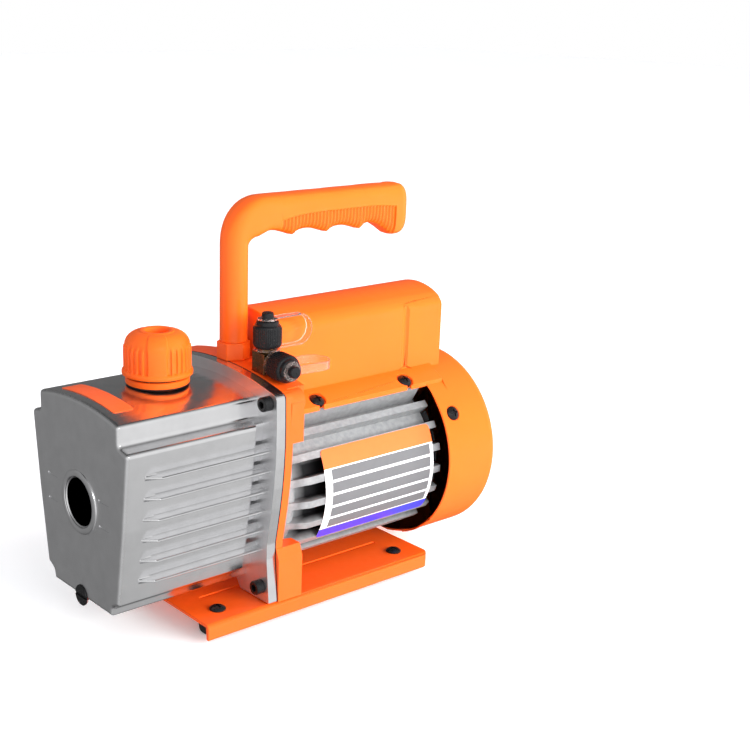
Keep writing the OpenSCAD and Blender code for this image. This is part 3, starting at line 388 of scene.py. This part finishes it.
# ------------------------------------------------------------------ meshes
def new_piece(name, node, mesh):
    """A piece that stands for a CAD node, on that node's body and slot."""
    piece = bpy.data.objects.new(name, mesh)
    SCENE.collection.objects.link(piece)
    mesh.materials.clear()
    mesh.materials.append(MATERIAL[SLOT_OF[node]])
    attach(piece, frame["nodes"][node]["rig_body"])
    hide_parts(node)
    return piece


def baked(piece):
    """The piece's modifiers applied to its mesh."""
    graph = bpy.context.evaluated_depsgraph_get()
    mesh = bpy.data.meshes.new_from_object(piece.evaluated_get(graph))
    piece.modifiers.clear()
    old, piece.data = piece.data, mesh
    bpy.data.meshes.remove(old)
    return piece


def smooth(piece, angle=35):
    """Smooth shading between faces closer than angle, with flat faces kept flat."""
    piece.data.shade_smooth()
    piece.data.set_sharp_from_angle(angle=math.radians(angle))
    weighted = piece.modifiers.new("flat_faces", "WEIGHTED_NORMAL")
    weighted.keep_sharp = True
    return baked(piece)


SHARP_ANGLE = math.radians(32)          # edges turning more than this are rounded
BEVEL_STEPS = 2


def room(edge, sharp):
    """How far the edge may be cut back before it meets another corner."""
    along = (edge.verts[1].co - edge.verts[0].co).normalized()
    reach = []
    for vertex in edge.verts:
        for other in vertex.link_edges:
            if other is edge:
                continue
            side = (other.other_vert(vertex).co - vertex.co)
            across = side.cross(along).length
            if other not in sharp or across > 0.7 * side.length:
                reach.append(across)
    return 0.42 * min(reach, default=1.0)


def weigh_edges(mesh, width):
    """Each sharp edge gets a bevel weight from the room around it."""
    work = bmesh.new()
    work.from_mesh(mesh)
    weight = work.edges.layers.float.new("bevel_weight_edge")
    sharp = {e for e in work.edges if len(e.link_faces) == 2
             and e.calc_face_angle(0) > SHARP_ANGLE}
    for edge in sharp:
        edge[weight] = min(1, room(edge, sharp) / (width * MM))
    # a chain of edges takes its smallest neighbour's width, so that it doesn't taper abruptly
    for _ in range(2):
        least = {e: min([e[weight]] + [o[weight] for v in e.verts for o in v.link_edges
                                       if o in sharp]) for e in sharp}
        for edge, value in least.items():
            edge[weight] = value
    work.to_mesh(mesh)
    work.free()


def edge_rounding(piece, width):
    """The piece's sharp edges rounded by width millimetres, or by as much as has room."""
    mesh = piece.data
    surface = BVHTree.FromPolygons([v.co for v in mesh.vertices],
                                   [tuple(f.vertices) for f in mesh.polygons])
    weigh_edges(mesh, width)
    bevel = piece.modifiers.new("edges", "BEVEL")
    bevel.width, bevel.segments = width * MM, BEVEL_STEPS
    bevel.limit_method = "WEIGHT"
    bevel.use_clamp_overlap = False
    baked(piece)
    # a point that the rounding threw off the surface goes back to it
    for vertex in piece.data.vertices:
        place, _, _, distance = surface.find_nearest(vertex.co)
        if distance > 0.55 * width * MM:
            vertex.co = place
    return piece


def rounded(node, width):
    """The CAD node's own shape with its edges rounded by width millimetres."""
    mesh = frame["nodes"][node].data.copy()
    work = bmesh.new()
    work.from_mesh(mesh)
    bmesh.ops.remove_doubles(work, verts=work.verts, dist=0.004 * MM)
    bmesh.ops.dissolve_limit(work, angle_limit=math.radians(0.6), verts=work.verts,
                             edges=work.edges)
    work.to_mesh(mesh)
    work.free()
    piece = new_piece(node + "_rounded", node, mesh)
    return smooth(edge_rounding(piece, width))


def mesh_of(name, points, faces):
    mesh = bpy.data.meshes.new(name)
    mesh.from_pydata([tuple(p) for p in points], [], faces)
    work = bmesh.new()
    work.from_mesh(mesh)
    bmesh.ops.recalc_face_normals(work, faces=work.faces)
    work.to_mesh(mesh)
    work.free()
    return mesh


def loft(rings, closed=True):
    """Points and faces of a solid through rings of equal count, with both ends capped."""
    n = len(rings[0])
    points = [p for ring in rings for p in ring]
    faces = []
    for k in range(len(rings) - 1):
        for i in range(n):
            j = (i + 1) % n
            faces.append((k * n + i, k * n + j, (k + 1) * n + j, (k + 1) * n + i))
    if closed:
        faces.append(tuple(range(n))[::-1])
        faces.append(tuple((len(rings) - 1) * n + i for i in range(n)))
    return points, faces


def filleted(corners, steps=5):
    """A closed outline through (y, z, radius) corners, each turned into an arc."""
    out = []
    count = len(corners)
    for i, (y, z, radius) in enumerate(corners):
        here = Vector((y, z))
        back = (Vector(corners[i - 1][:2]) - here)
        on = (Vector(corners[(i + 1) % count][:2]) - here)
        half = back.angle(on) / 2
        reach = min(radius / math.tan(half), back.length * 0.49, on.length * 0.49)
        start = here + back.normalized() * reach
        end = here + on.normalized() * reach
        for k in range(steps + 1):
            t = k / steps
            out.append(start * (1 - t) ** 2 + here * 2 * t * (1 - t) + end * t * t)
    return out


def shrunk(corners, amount):
    """Clockwise corners whose walls have moved in by amount, with their fillets to suit."""
    out = []
    count = len(corners)
    for i, (y, z, radius) in enumerate(corners):
        here = Vector((y, z))
        come = (here - Vector(corners[i - 1][:2])).normalized()
        go = (Vector(corners[(i + 1) % count][:2]) - here).normalized()
        inward = Vector((come.y, -come.x)) + Vector((go.y, -go.x))
        shift = inward * amount / (1 + come.dot(go))
        outside = come.x * go.y - come.y * go.x < 0
        out.append((*(here + shift), max(radius - amount if outside else radius + amount, 0.3)))
    return out


def mirrored(half):
    """A whole outline from its +Y half, listed from the top's middle down to the bottom's."""
    return [(-y, z, r) for y, z, r in half[::-1]] + [(y, z, r) for y, z, r in half]


def arch_points(top, radius, reach, steps):
    """Corners along an arched top, from near the middle out to reach."""
    ys = [reach * (k + 0.5) / steps for k in range(steps)]
    return [(y, top - radius + math.sqrt(radius ** 2 - y * y), 30) for y in ys]


def ring_at(x, outline):
    return [at(x, p.x, p.y) for p in outline]


# ------------------------------------------------------------------ oil tank
TANK = dict(front=-47.5, recess=36.0, flange=42.6, rear=48.8, arch=138.4, arch_r=177.0,
            top=41.1, shoulder=(50.2, 120.2), low=(38.2, 31.5), foot=(31.0, 23.0))
GLASS_Z, OPENING_R, OPENING_DEPTH = 79.6, 14.4, 8.6
LEVELS = (72.3, 87.1)                   # heights of the low and high oil marks
RIBS = dict(count=6, top=105.6, pitch=12.25, start=-36.0, full=-29.0, out=6.0)


def tank_corners(side=0.0):
    """The tank's section; side moves its walls below the top block inwards."""
    (sy, sz), (ly, lz), (fy, fz) = TANK["shoulder"], TANK["low"], TANK["foot"]
    edge_z = TANK["arch"] - TANK["arch_r"] + math.sqrt(TANK["arch_r"] ** 2 - TANK["top"] ** 2)
    half = arch_points(TANK["arch"], TANK["arch_r"], TANK["top"] - 5, 5) + [
        (TANK["top"], edge_z, 2.6), (TANK["top"], 122.2, 3.2), (sy - side, sz, 2.6),
        ((sy + ly) / 2 + 0.7 - side, (sz + lz) / 2, 90), (ly - side, lz, 2.4),
        (fy + 1.0, 28.2, 3.0), (fy, fz, 1.8), (8, fz, 2)]
    return mirrored(half)


def plate_corners():
    """The flange's outline, which the bracket repeats."""
    arch, radius = 144.9, 236.0
    corner = arch - radius + math.sqrt(radius ** 2 - 57.9 ** 2)
    half = arch_points(arch, radius, 50, 6) + [
        (57.95, corner, 3.8), (58.4, 119.2, 40), (58.4, 107.7, 40), (57.8, 95.9, 40),
        (56.7, 83.8, 40), (55, 71.4, 40), (52.8, 58.6, 30), (51, 48.8, 8), (50.9, 39.6, 6),
        (53.4, 12.8, 0.8), (26, 12.8, 2), (20, 22, 4), (6, 22, 2)]
    return mirrored(half)


def tank_body_rings():
    corners = tank_corners()
    round_r, steps = 2.4, 6
    rings = []
    for k in range(steps + 1):
        turn = math.pi / 2 * k / steps
        rings.append(ring_at(TANK["front"] + round_r * (1 - math.cos(turn)),
                             filleted(shrunk(corners, round_r * (1 - math.sin(turn))))))
    outline, recess = filleted(corners), filleted(tank_corners(3.2))
    for x, t in ((TANK["recess"] - 1.2, 0), (TANK["recess"] - 0.3, 0.12),
                 (TANK["recess"] + 0.1, 0.5), (TANK["recess"] + 0.4, 0.9),
                 (TANK["recess"] + 1.2, 1), (TANK["flange"] + 0.6, 1)):
        rings.append(ring_at(x, [a.lerp(b, t) for a, b in zip(outline, recess)]))
    return rings


def circle(radius, y, z, steps=72):
    return [Vector((y + radius * math.cos(2 * math.pi * k / steps),
                    z + radius * math.sin(2 * math.pi * k / steps))) for k in range(steps)]


def faced(rings, holes):
    """A solid through the rings, whose front face has (outline, depth) pockets."""
    work = bmesh.new()

    def walls(near, far):
        count = len(near)
        for i in range(count):
            j = (i + 1) % count
            work.faces.new((near[i], near[j], far[j], far[i]))

    def rim(loop):
        return [work.edges.get((loop[i - 1], loop[i])) for i in range(len(loop))]

    loops = [[work.verts.new(p) for p in ring] for ring in rings]
    for near, far in zip(loops, loops[1:]):
        walls(near, far)
    work.faces.new(loops[-1])
    edges = rim(loops[0])
    for outline, depth in holes:
        near, far = ([work.verts.new(p) for p in ring_at(TANK["front"] + dx, outline)]
                     for dx in (0, depth))
        walls(near, far)
        work.faces.new(far)
        edges += rim(near)
    bmesh.ops.triangle_fill(work, use_beauty=True, edges=edges)
    bmesh.ops.recalc_face_normals(work, faces=work.faces)
    mesh = bpy.data.meshes.new("oil_tank_casting")
    work.to_mesh(mesh)
    work.free()
    return mesh


def rib_part(z, side):
    """One rib: a rounded blade that starts as a wedge and meets the flange."""
    (sy, sz), (ly, lz) = TANK["shoulder"], TANK["low"]
    wall = ly + (sy - ly) * (z - lz) / (sz - lz) + 0.3
    section = [(-0.8, 2.9), (0.25, 1.9), (0.9, 1.15), (2.0, 0.95), (4.9, 0.86), (5.6, 0.66),
               (5.95, 0.3)]
    rings = []
    for x, out, wide in ((RIBS["start"], 0.04, 0.75), (RIBS["start"] + 0.5, 0.12, 0.8),
                         (RIBS["full"] - 0.5, 0.93, 1.0), (RIBS["full"] + 0.3, 0.99, 1.0),
                         (RIBS["full"] + 1.2, 1, 1.0), (TANK["flange"] + 0.4, 1, 1.0)):
        half = [((d if d < 0 else d * out), h * wide) for d, h in section]
        ring = [(d, h) for d, h in half] + [(d, -h) for d, h in half[::-1]]
        rings.append([at(x, side * (wall + d), z + h) for d, h in ring])
    return loft(rings)


def level_mark(side, z):
    """A level mark's slot beside the sight glass."""
    y0, y1 = (23.4, 34.0) if side > 0 else (-31.0, -20.3)
    half, corner = 0.65, 0.6
    return filleted([(y0, z - half, corner), (y1, z - half, corner), (y1, z + half, corner),
                     (y0, z + half, corner)])


def add_tank():
    holes = [(circle(OPENING_R, 0, GLASS_Z), OPENING_DEPTH)]
    holes += [(level_mark(side, z), 0.5) for side in (-1, 1) for z in LEVELS]
    piece = new_piece("oil_tank_casting", "oil_tank", faced(tank_body_rings(), holes))
    smooth(piece, 30)
    corners = plate_corners()
    soft, near, thick = 0.5, 0.15, 6.2
    parts = [loft([ring_at(TANK["flange"] + dx, filleted(shrunk(corners, inset)))
                   for dx, inset in ((0, soft), (near, near), (soft, 0), (thick - soft, 0),
                                     (thick - near, near), (thick, soft))])]
    parts += [rib_part(RIBS["top"] - k * RIBS["pitch"], side)
              for k in range(RIBS["count"]) for side in (-1, 1)]
    for k, part in enumerate(parts):
        name = "tank_flange" if k == 0 else f"tank_rib_{k}"
        add_extra(name, "frame", "cast_aluminium", mesh_of(name, *part), 30)


def turned_part(name, profile, steps, wave=None):
    """A solid turned about its own Z from (radius, height) pairs; wave(k, angle) adds to a
    profile point's radius."""
    rings = []
    for k, (radius, height) in enumerate(profile):
        ring = []
        for i in range(steps):
            turn = 2 * math.pi * i / steps
            r = max(radius + (wave(k, turn) if wave else 0), 0.001)
            ring.append(Vector((r * math.cos(turn), r * math.sin(turn), height)) * MM)
        rings.append(ring)
    return mesh_of(name, *loft(rings))


def placed(mesh, origin, axis):
    """The mesh turned so that its Z lies along axis, and moved to origin."""
    turn = Vector((0, 0, 1)).rotation_difference(axis).to_matrix().to_4x4()
    mesh.transform(Matrix.Translation(origin) @ turn)
    return mesh


def add_extra(name, body, slot, mesh, angle=35):
    """A piece that the CAD doesn't have, on one of its bodies."""
    piece = bpy.data.objects.new(name, mesh)
    SCENE.collection.objects.link(piece)
    mesh.materials.clear()
    mesh.materials.append(MATERIAL[slot])
    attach(piece, body)
    return smooth(piece, angle)


def add_sight_glass():
    """The boss round the opening, and the threaded well behind it."""
    front, steps, thread, pitch = TANK["front"], 96, 7, 1.3
    lip = turned_part("sight_glass_boss", [
        (14.45, 0.0), (14.45, 0.9), (14.8, 1.25), (16.3, 1.4), (17.6, 1.25), (18.1, 0.9),
        (18.3, 0.3), (18.5, 0.0)], 128)
    placed(lip, at(front + 0.4, 0, GLASS_Z), Vector((-1, 0, 0)))
    add_extra("sight_glass_boss", "frame", "cast_aluminium", lip)
    profile = [(14.35, 0)]
    for k in range(thread):
        profile += [(14.0, 0.4 + k * pitch), (13.3, 0.9 + k * pitch), (14.0, 1.4 + k * pitch)]
    profile += [(11.5, 10.5), (0.01, 10.6)]
    rings = [[Vector((r * math.cos(2 * math.pi * i / steps), r * math.sin(2 * math.pi * i / steps),
                      h)) * MM for i in range(steps)] for r, h in profile]
    well = mesh_of("sight_glass_well", *loft(rings, closed=False))
    placed(well, at(front - 0.2, 0, GLASS_Z), Vector((1, 0, 0)))
    well.flip_normals()
    add_extra("sight_glass_well", "frame", "cast_aluminium", well)


# ------------------------------------------------------------------ handle
STEM_X, STEM_R, BEND = 56.1, 8.1, 18.0
GRIP_HALF, GRIP_POWER, TIP_R = 9, 3.9, 7.5      # a higher power makes the grip's section squarer
SCALLOP, LAST_SCALLOP = 3.2, 5.2
GRIP_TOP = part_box("handle")[1].z / MM
GRIP_END = (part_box("handle")[1].x - FRONT_X) / MM
STOPS = ((68.5, 214.2), (94.2, 213.0), (119.9, 212.3), (145.8, 211.6), (172.0, 205.7))


def grip_low(x):
    """Height of the grip's underside: a scallop for each finger between two stops."""
    last = len(STOPS) - 2
    for i in range(last + 1):
        (x0, z0), (x1, z1) = STOPS[i], STOPS[i + 1]
        if x <= x1 or i == last:
            t = min(max((x - x0) / (x1 - x0), 0), 1)
            deep = LAST_SCALLOP if i == last else SCALLOP
            return z0 + (z1 - z0) * t + deep * math.sin(math.pi * t ** 0.72)


def handle_ring(outer, inner, half, power, band=None):
    """A closed section between an outer and an inner point, half wide, with its sides cut
    back below the band's height by the band's depth."""
    rows = [0, 0.012, 0.04, 0.08, 0.14, 0.21, 0.29, 0.38, 0.46, 0.54, 0.62, 0.71, 0.79, 0.86,
            0.92, 0.96, 0.988, 1]
    if band:
        edge, step, middle = (band[0] - inner[1]) / (outer[1] - inner[1]), 0.012, 0.54
        edge = min(max(edge, 0.2), 0.7)
        # the middle row splits in two at the band's edge, and the others spread to suit
        rows = [r * edge / middle for r in rows[:9]] + [edge - step, edge + step] + [
            min(edge + step + (r - middle) * (1 - edge) / (1 - middle), 1) for r in rows[10:-1]]
    side = []
    for k, row in enumerate(rows):
        wide = half * max(1 - abs(2 * row - 1) ** power, 0) ** (1 / power)
        if band and 0.02 < row < edge:
            wide -= band[1]
        side.append((max(wide, 0.02), inner[0] + (outer[0] - inner[0]) * row,
                     inner[1] + (outer[1] - inner[1]) * row))
    return [at(x, w, z) for w, x, z in side] + [at(x, -w, z) for w, x, z in side[::-1]]


def add_handle():
    """A round stem that bends into a flat-sided grip with fine upright ridges."""
    bend_z = GRIP_TOP - BEND - STEM_R
    rings = [handle_ring((STEM_X - STEM_R * f, z), (STEM_X + STEM_R * f, z), STEM_R * f, 2)
             for z, f in ((153.4, 0.86), (154.9, 0.93), (155.4, 1), (172, 1), (190, 1), (204, 1))]
    steps = 16
    reach = BEND + STEM_R
    for k in range(steps + 1):
        t = k / steps
        turn = math.pi / 2 * t
        outer = (STEM_X + BEND - reach * math.cos(turn), bend_z + reach * math.sin(turn))
        ease = t * t * (3 - 2 * t)
        corner = math.pi / 2 * (1 - t)
        inner = (STEM_X + STEM_R + 4.4 * (1 - math.sin(corner)), 209.4 + 4.8 * math.cos(corner))
        half = STEM_R + (GRIP_HALF - STEM_R) * ease
        rings.append(handle_ring(outer, inner, half, 2 + (GRIP_POWER - 2) * ease))
    pitch, first, last = 2.6, 84.0, 172.0
    x = STEM_X + BEND + 2.0
    tip = GRIP_END - TIP_R
    while x < tip:
        band = None
        if first <= x <= last:
            wave = 0.5 - 0.5 * math.cos(2 * math.pi * (x - first) / pitch)
            arch = 225.5 - 3 * ((x - 130) / 46) ** 4
            band = (arch, 0.35 + 0.85 * min(1, wave * 1.6))
        rings.append(handle_ring((x, GRIP_TOP), (x, grip_low(x)), GRIP_HALF, GRIP_POWER, band))
        x += pitch / 6 if first - 1 <= x <= last else 1.5
    low = grip_low(tip)
    for k in range(9):
        turn = math.pi / 2 * k / 9
        x, closed = tip + TIP_R * math.sin(turn), 1 - math.cos(turn)
        rings.append(handle_ring((x, GRIP_TOP - 8 * closed), (x, low + 7 * closed),
                                 GRIP_HALF - 4.2 * closed, GRIP_POWER))
    piece = new_piece("handle_moulded", "handle", mesh_of("handle_moulded", *loft(rings)))
    smooth(piece, 38)


# ------------------------------------------------------------------ intake caps
def add_intake_cap(node, origin, axis):
    """A knurled cap with a stepped end, a ring of slots and its post."""
    teeth = 44

    def knurl(k, turn):
        return 0.0 if k not in (3, 4) else 0.16 * math.cos(teeth * turn)

    profile = [(5.8, 9.4), (6.9, 9.45), (7.5, 10.2), (7.95, 11.3), (7.95, 20.6), (7.7, 21.4),
               (7.3, 22.1), (6.75, 22.4), (6.5, 22.45), (6.4, 22.9), (6.4, 24.2), (6.1, 24.7),
               (5.6, 24.9), (5.5, 24.4), (3.5, 24.3), (3.4, 24.9), (3.4, 28.7), (3.1, 29.2),
               (2.6, 29.4), (0.01, 29.4)]
    body = turned_part(node + "_turned", profile, teeth * 6, knurl)
    placed(body, origin, axis)
    piece = new_piece(node + "_knurled", node, body)
    smooth(piece, 40)
    for k in range(6):
        web = filleted([(3.3, -0.55, 0.2), (5.7, -0.75, 0.2), (5.7, 0.75, 0.2),
                        (3.3, 0.55, 0.2)], 3)
        rings = [[Vector((p.x, p.y, h)) * MM for p in web] for h in (24.2, 24.8, 25.0)]
        bar = mesh_of("web", *loft(rings))
        bar.transform(Matrix.Rotation(math.radians(60 * k), 4, "Z"))
        placed(bar, origin, axis)
        add_extra(f"{node}_web_{k}", frame["nodes"][node]["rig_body"], SLOT_OF[node], bar)


def add_strap(node):
    """A cap's strap, its edges rounded, taken off every rigid body and with its place baked into its
    mesh.
    """
    strap = rounded(node, 0.2)
    place = strap.matrix_world.copy()
    strap.parent = None
    strap.matrix_world = place
    del strap["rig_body"]
    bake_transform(strap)


# ------------------------------------------------------------------ filler cap
def add_oil_cap():
    """A domed cap: three broad smooth spokes, with ribbed panels set back between them."""
    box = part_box("oil_cap")
    low, top = box[0].z / MM, box[1].z / MM
    dome = [(18.9 - 9.0 * (1 - math.cos(a)), 158.6 + 9.7 * math.sin(a))
            for a in (math.pi / 2 * k / 9 for k in range(10))]
    profile = [(0.01, 157.9), (12.7, 157.9), (12.7, low + 0.2), (13.0, low), (19.2, low),
               (19.65, low + 0.15), (19.8, low + 0.6), (19.8, 146.3), (19.6, 146.8),
               (19.1, 147.2), (18.95, 147.8), (18.95, 150), (18.95, 153), (18.95, 156)] + dome + [
        (9.6, top - 0.1), (9.2, top), (7.5, top), (6.9, top - 0.3), (6.5, top - 0.9),
        (6.4, 163.9), (0.01, 163.8)]
    panel, first_dome = (10, 22), 14
    ribs, rib_pitch, spread = 7, math.radians(11.3), math.radians(44.5)

    def shape(k, turn):
        if not panel[0] <= k <= panel[1]:
            return 0.0
        # the angle from the middle of the nearest panel
        off = (turn - math.radians(57)) % math.radians(120)
        off = min(off, math.radians(120) - off)
        up = max(k - first_dome, 0) / 8
        edge = spread * (1 - 0.12 * up)
        inside = min(max((edge - off) / math.radians(2.2), 0), 1)
        deep = (0.95 - 0.3 * up) * inside
        from_rib = abs((off / rib_pitch + 0.5) % 1 - 0.5) * rib_pitch
        rib = min(max((math.radians(2.9) - from_rib) / math.radians(1.0), 0), 1)
        within = off < (ribs / 2) * rib_pitch and k <= first_dome + 1
        return -deep + (deep * 0.9 * rib if within else 0)

    body = turned_part("oil_cap_moulded", profile, 480, shape)
    placed(body, Vector(((box[0].x + box[1].x) / 2, 0, 0)), Vector((0, 0, 1)))
    smooth(new_piece("oil_cap_moulded", "oil_cap", body), 40)


# ------------------------------------------------------------------ nameplate
PLATE_R, FOIL = 51.35, 0.12             # the plate's radius and its thickness


def patch(name, x0, x1, a0, a1, lift, colour, corner, corners=(1, 1, 1, 1)):
    """A thin curved sheet on the fins between two x and two angles, its corners rounded."""
    radius = PLATE_R + lift
    height = math.radians(a1 - a0) * radius
    base = math.radians(a0) * radius
    square = [(x0, base), (x1, base), (x1, base + height), (x0, base + height)]
    outline = filleted([(x, y, corner * c + 0.05) for (x, y), c in zip(square, corners)], 6)
    work = bmesh.new()
    work.faces.new([work.verts.new((p.x, p.y, 0)) for p in outline])
    rows = 26
    for k in range(1, rows):
        bmesh.ops.bisect_plane(work, geom=work.verts[:] + work.edges[:] + work.faces[:],
                               plane_co=(0, base + height * k / rows, 0), plane_no=(0, 1, 0))
    mesh = bpy.data.meshes.new(name)
    work.to_mesh(mesh)
    work.free()
    for vertex in mesh.vertices:
        turn = vertex.co.y / radius
        vertex.co = at(vertex.co.x, -radius * math.cos(turn), AXIS_Z + radius * math.sin(turn))
    piece = bpy.data.objects.new(name, mesh)
    SCENE.collection.objects.link(piece)
    mesh.materials.append(colour)
    thick = piece.modifiers.new("thick", "SOLIDIFY")
    thick.thickness, thick.offset = FOIL * MM, 0
    baked(piece)
    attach(piece, "frame")
    return smooth(piece, 30)


def add_nameplate():
    """White foil with an orange header, five grey rows and a blue footer, with no lettering."""
    x0, x1, low, high = 85.3, 172.0, -34.5, 30.5
    header, footer, rows = 17.5, -26.5, 5
    lift, corner = 0.09, 3.2
    white = print_colour("print_white", (0.86, 0.86, 0.86))
    orange = print_colour("print_orange", (0.95, 0.15, 0.03))
    grey = print_colour("print_grey", (0.13, 0.13, 0.135))
    blue = print_colour("print_blue", (0.045, 0.045, 0.85))
    base = patch("nameplate_foil", x0, x1, low, high, 0, white.material, corner)
    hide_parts("nameplate")
    patch("nameplate_header", x0, x1, header, high, lift, orange.material, corner, (0, 0, 1, 1))
    patch("nameplate_footer", x0, x1, low, footer, lift, blue.material, corner, (1, 1, 0, 0))
    pitch = (header - footer) / rows
    for k in range(rows):
        a0 = footer + pitch * k + 0.9
        patch(f"nameplate_row_{k}", x0 + 5.2, x1 - 2.6, a0, a0 + pitch - 1.8, lift,
              grey.material, 0.4)


# ------------------------------------------------------------------ the other pieces
ROUNDING = {
    "base_plate": 0.5, "motor_cover": 0.8, "handle_nut": 0.5,
    "filler_neck": 0.3, "stator_housing": 0.35, "end_bell": 0.3,
    "intake_fitting": 0.4, "rubber_feet": 0.4, "switch_bezel": 0.4, "power_inlet": 0.5,
    "rocker_switch": 0.4, "cooling_fan": 0.25, "drain_plug": 0.2, "foot_screws": 0.2,
    "cover_screws": 0.2, "flange_bolts": 0.25, "bracket_bolts": 0.2,
    "sight_glass_ring": 0.15, "foot_nuts": 0.15,
}


def finish_nodes():
    for node, obj in frame["nodes"].items():
        if obj.hide_render:
            continue
        if node in ROUNDING:
            rounded(node, ROUNDING[node])
            continue
        obj.data.materials.clear()
        obj.data.materials.append(MATERIAL[SLOT_OF[node]])


# ------------------------------------------------------------------ stage and light
def add_light(name, place, target, size, power):
    data = bpy.data.lights.new(name, "AREA")
    data.shape, data.size, data.size_y = "RECTANGLE", size[0], size[1]
    data.energy = power
    light = bpy.data.objects.new(name, data)
    SCENE.collection.objects.link(light)
    light.location = place
    light.rotation_euler = (Vector(target) - Vector(place)).to_track_quat("-Z", "Y").to_euler()
    return light


def glossy_world(tree):
    """What mirrors see: bright in front, dim behind, above and below, so that metal has contrast."""
    place = tree.nodes.new("ShaderNodeTexCoord").outputs["Generated"]
    parts = tree.nodes.new("ShaderNodeSeparateXYZ")
    tree.links.new(place, parts.inputs[0])

    def spread(value, start, end, low, high):
        node = tree.nodes.new("ShaderNodeMapRange")
        node.interpolation_type = "SMOOTHSTEP"
        for key, number in (("From Min", start), ("From Max", end), ("To Min", low),
                            ("To Max", high)):
            node.inputs[key].default_value = number
        tree.links.new(value, node.inputs["Value"])
        return node.outputs["Result"]

    def joined(kind, a, b):
        node = tree.nodes.new("ShaderNodeMath")
        node.operation = kind
        tree.links.new(a, node.inputs[0])
        tree.links.new(b, node.inputs[1])
        return node.outputs[0]

    front = spread(parts.outputs["Y"], -0.35, 0.35, 1.12, 0.15)
    left = spread(parts.outputs["X"], -0.6, -0.1, 0.34, 0.0)
    above = spread(parts.outputs["Z"], 0.45, 0.9, 1.0, 0.4)
    below = spread(parts.outputs["Z"], -0.75, -0.2, 0.5, 1.0)
    return joined("MULTIPLY", joined("MAXIMUM", front, left), joined("MULTIPLY", above, below))


def add_stage():
    half = 6.0
    floor = bpy.data.objects.new("floor", mesh_of("floor", [
        (-half, -half, 0), (half, -half, 0), (half, half, 0), (-half, half, 0)], [(0, 1, 2, 3)]))
    SCENE.collection.objects.link(floor)
    pale = Shader("floor_pale", (0.95, 0.95, 0.95), 0.7, Emission_Color=(1, 1, 1, 1),
                  Emission_Strength=0.2).tones(300, 0.01).grain(8, 0.01)
    floor.data.materials.append(pale.material)
    floor.visible_glossy = False
    centre = (0, 0, 0.1)
    key = add_light("key", (0.62, -2.1, 0.72), centre, (1.6, 0.9), 82)
    key.visible_glossy = False
    add_light("softbox", (-0.7, -2.0, 1.3), centre, (0.5, 0.5), 4)
    add_light("rim", (1.9, -0.75, 0.5), centre, (0.4, 0.9), 34).visible_glossy = False
    world = bpy.data.worlds.new("studio")
    SCENE.world = world
    world.use_nodes = True
    tree = world.node_tree
    soft = tree.nodes["Background"]
    soft.inputs["Color"].default_value = (0.96, 0.97, 1.0, 1)
    soft.inputs["Strength"].default_value = 0.95
    sky = tree.nodes.new("ShaderNodeBackground")
    sky.inputs["Color"].default_value = (1, 1, 1, 1)
    mirror = tree.nodes.new("ShaderNodeBackground")
    tree.links.new(glossy_world(tree), mirror.inputs["Strength"])
    blend = tree.nodes.new("ShaderNodeMixShader")
    rays = tree.nodes.new("ShaderNodeLightPath")
    tree.links.new(rays.outputs["Is Glossy Ray"], blend.inputs[0])
    tree.links.new(soft.outputs[0], blend.inputs[1])
    tree.links.new(mirror.outputs[0], blend.inputs[2])
    seen = tree.nodes.new("ShaderNodeMixShader")
    tree.links.new(rays.outputs["Is Camera Ray"], seen.inputs[0])
    tree.links.new(blend.outputs[0], seen.inputs[1])
    tree.links.new(sky.outputs[0], seen.inputs[2])
    tree.links.new(seen.outputs[0], tree.nodes["World Output"].inputs["Surface"])
    SCENE.view_settings.view_transform = "Standard"


# ------------------------------------------------------------------ making
add_camera()
add_tank()
add_sight_glass()
add_nameplate()
add_handle()
add_oil_cap()
PORT_X, PORT_Y, SIDE_TURN = 57.4, -30, math.radians(265)
TOP_PORT, UP = at(PORT_X, PORT_Y, 148), Vector((0, 0, 1))
SIDE_PORT = at(PORT_X, PORT_Y, 149.5)
SIDEWAYS = Vector((math.cos(SIDE_TURN), math.sin(SIDE_TURN), 0))
add_intake_cap("intake_cap_top", TOP_PORT, UP)
add_intake_cap("intake_cap_side", SIDE_PORT, SIDEWAYS)
add_strap("cap_strap_top")
add_strap("cap_strap_side")
finish_nodes()
add_stage()
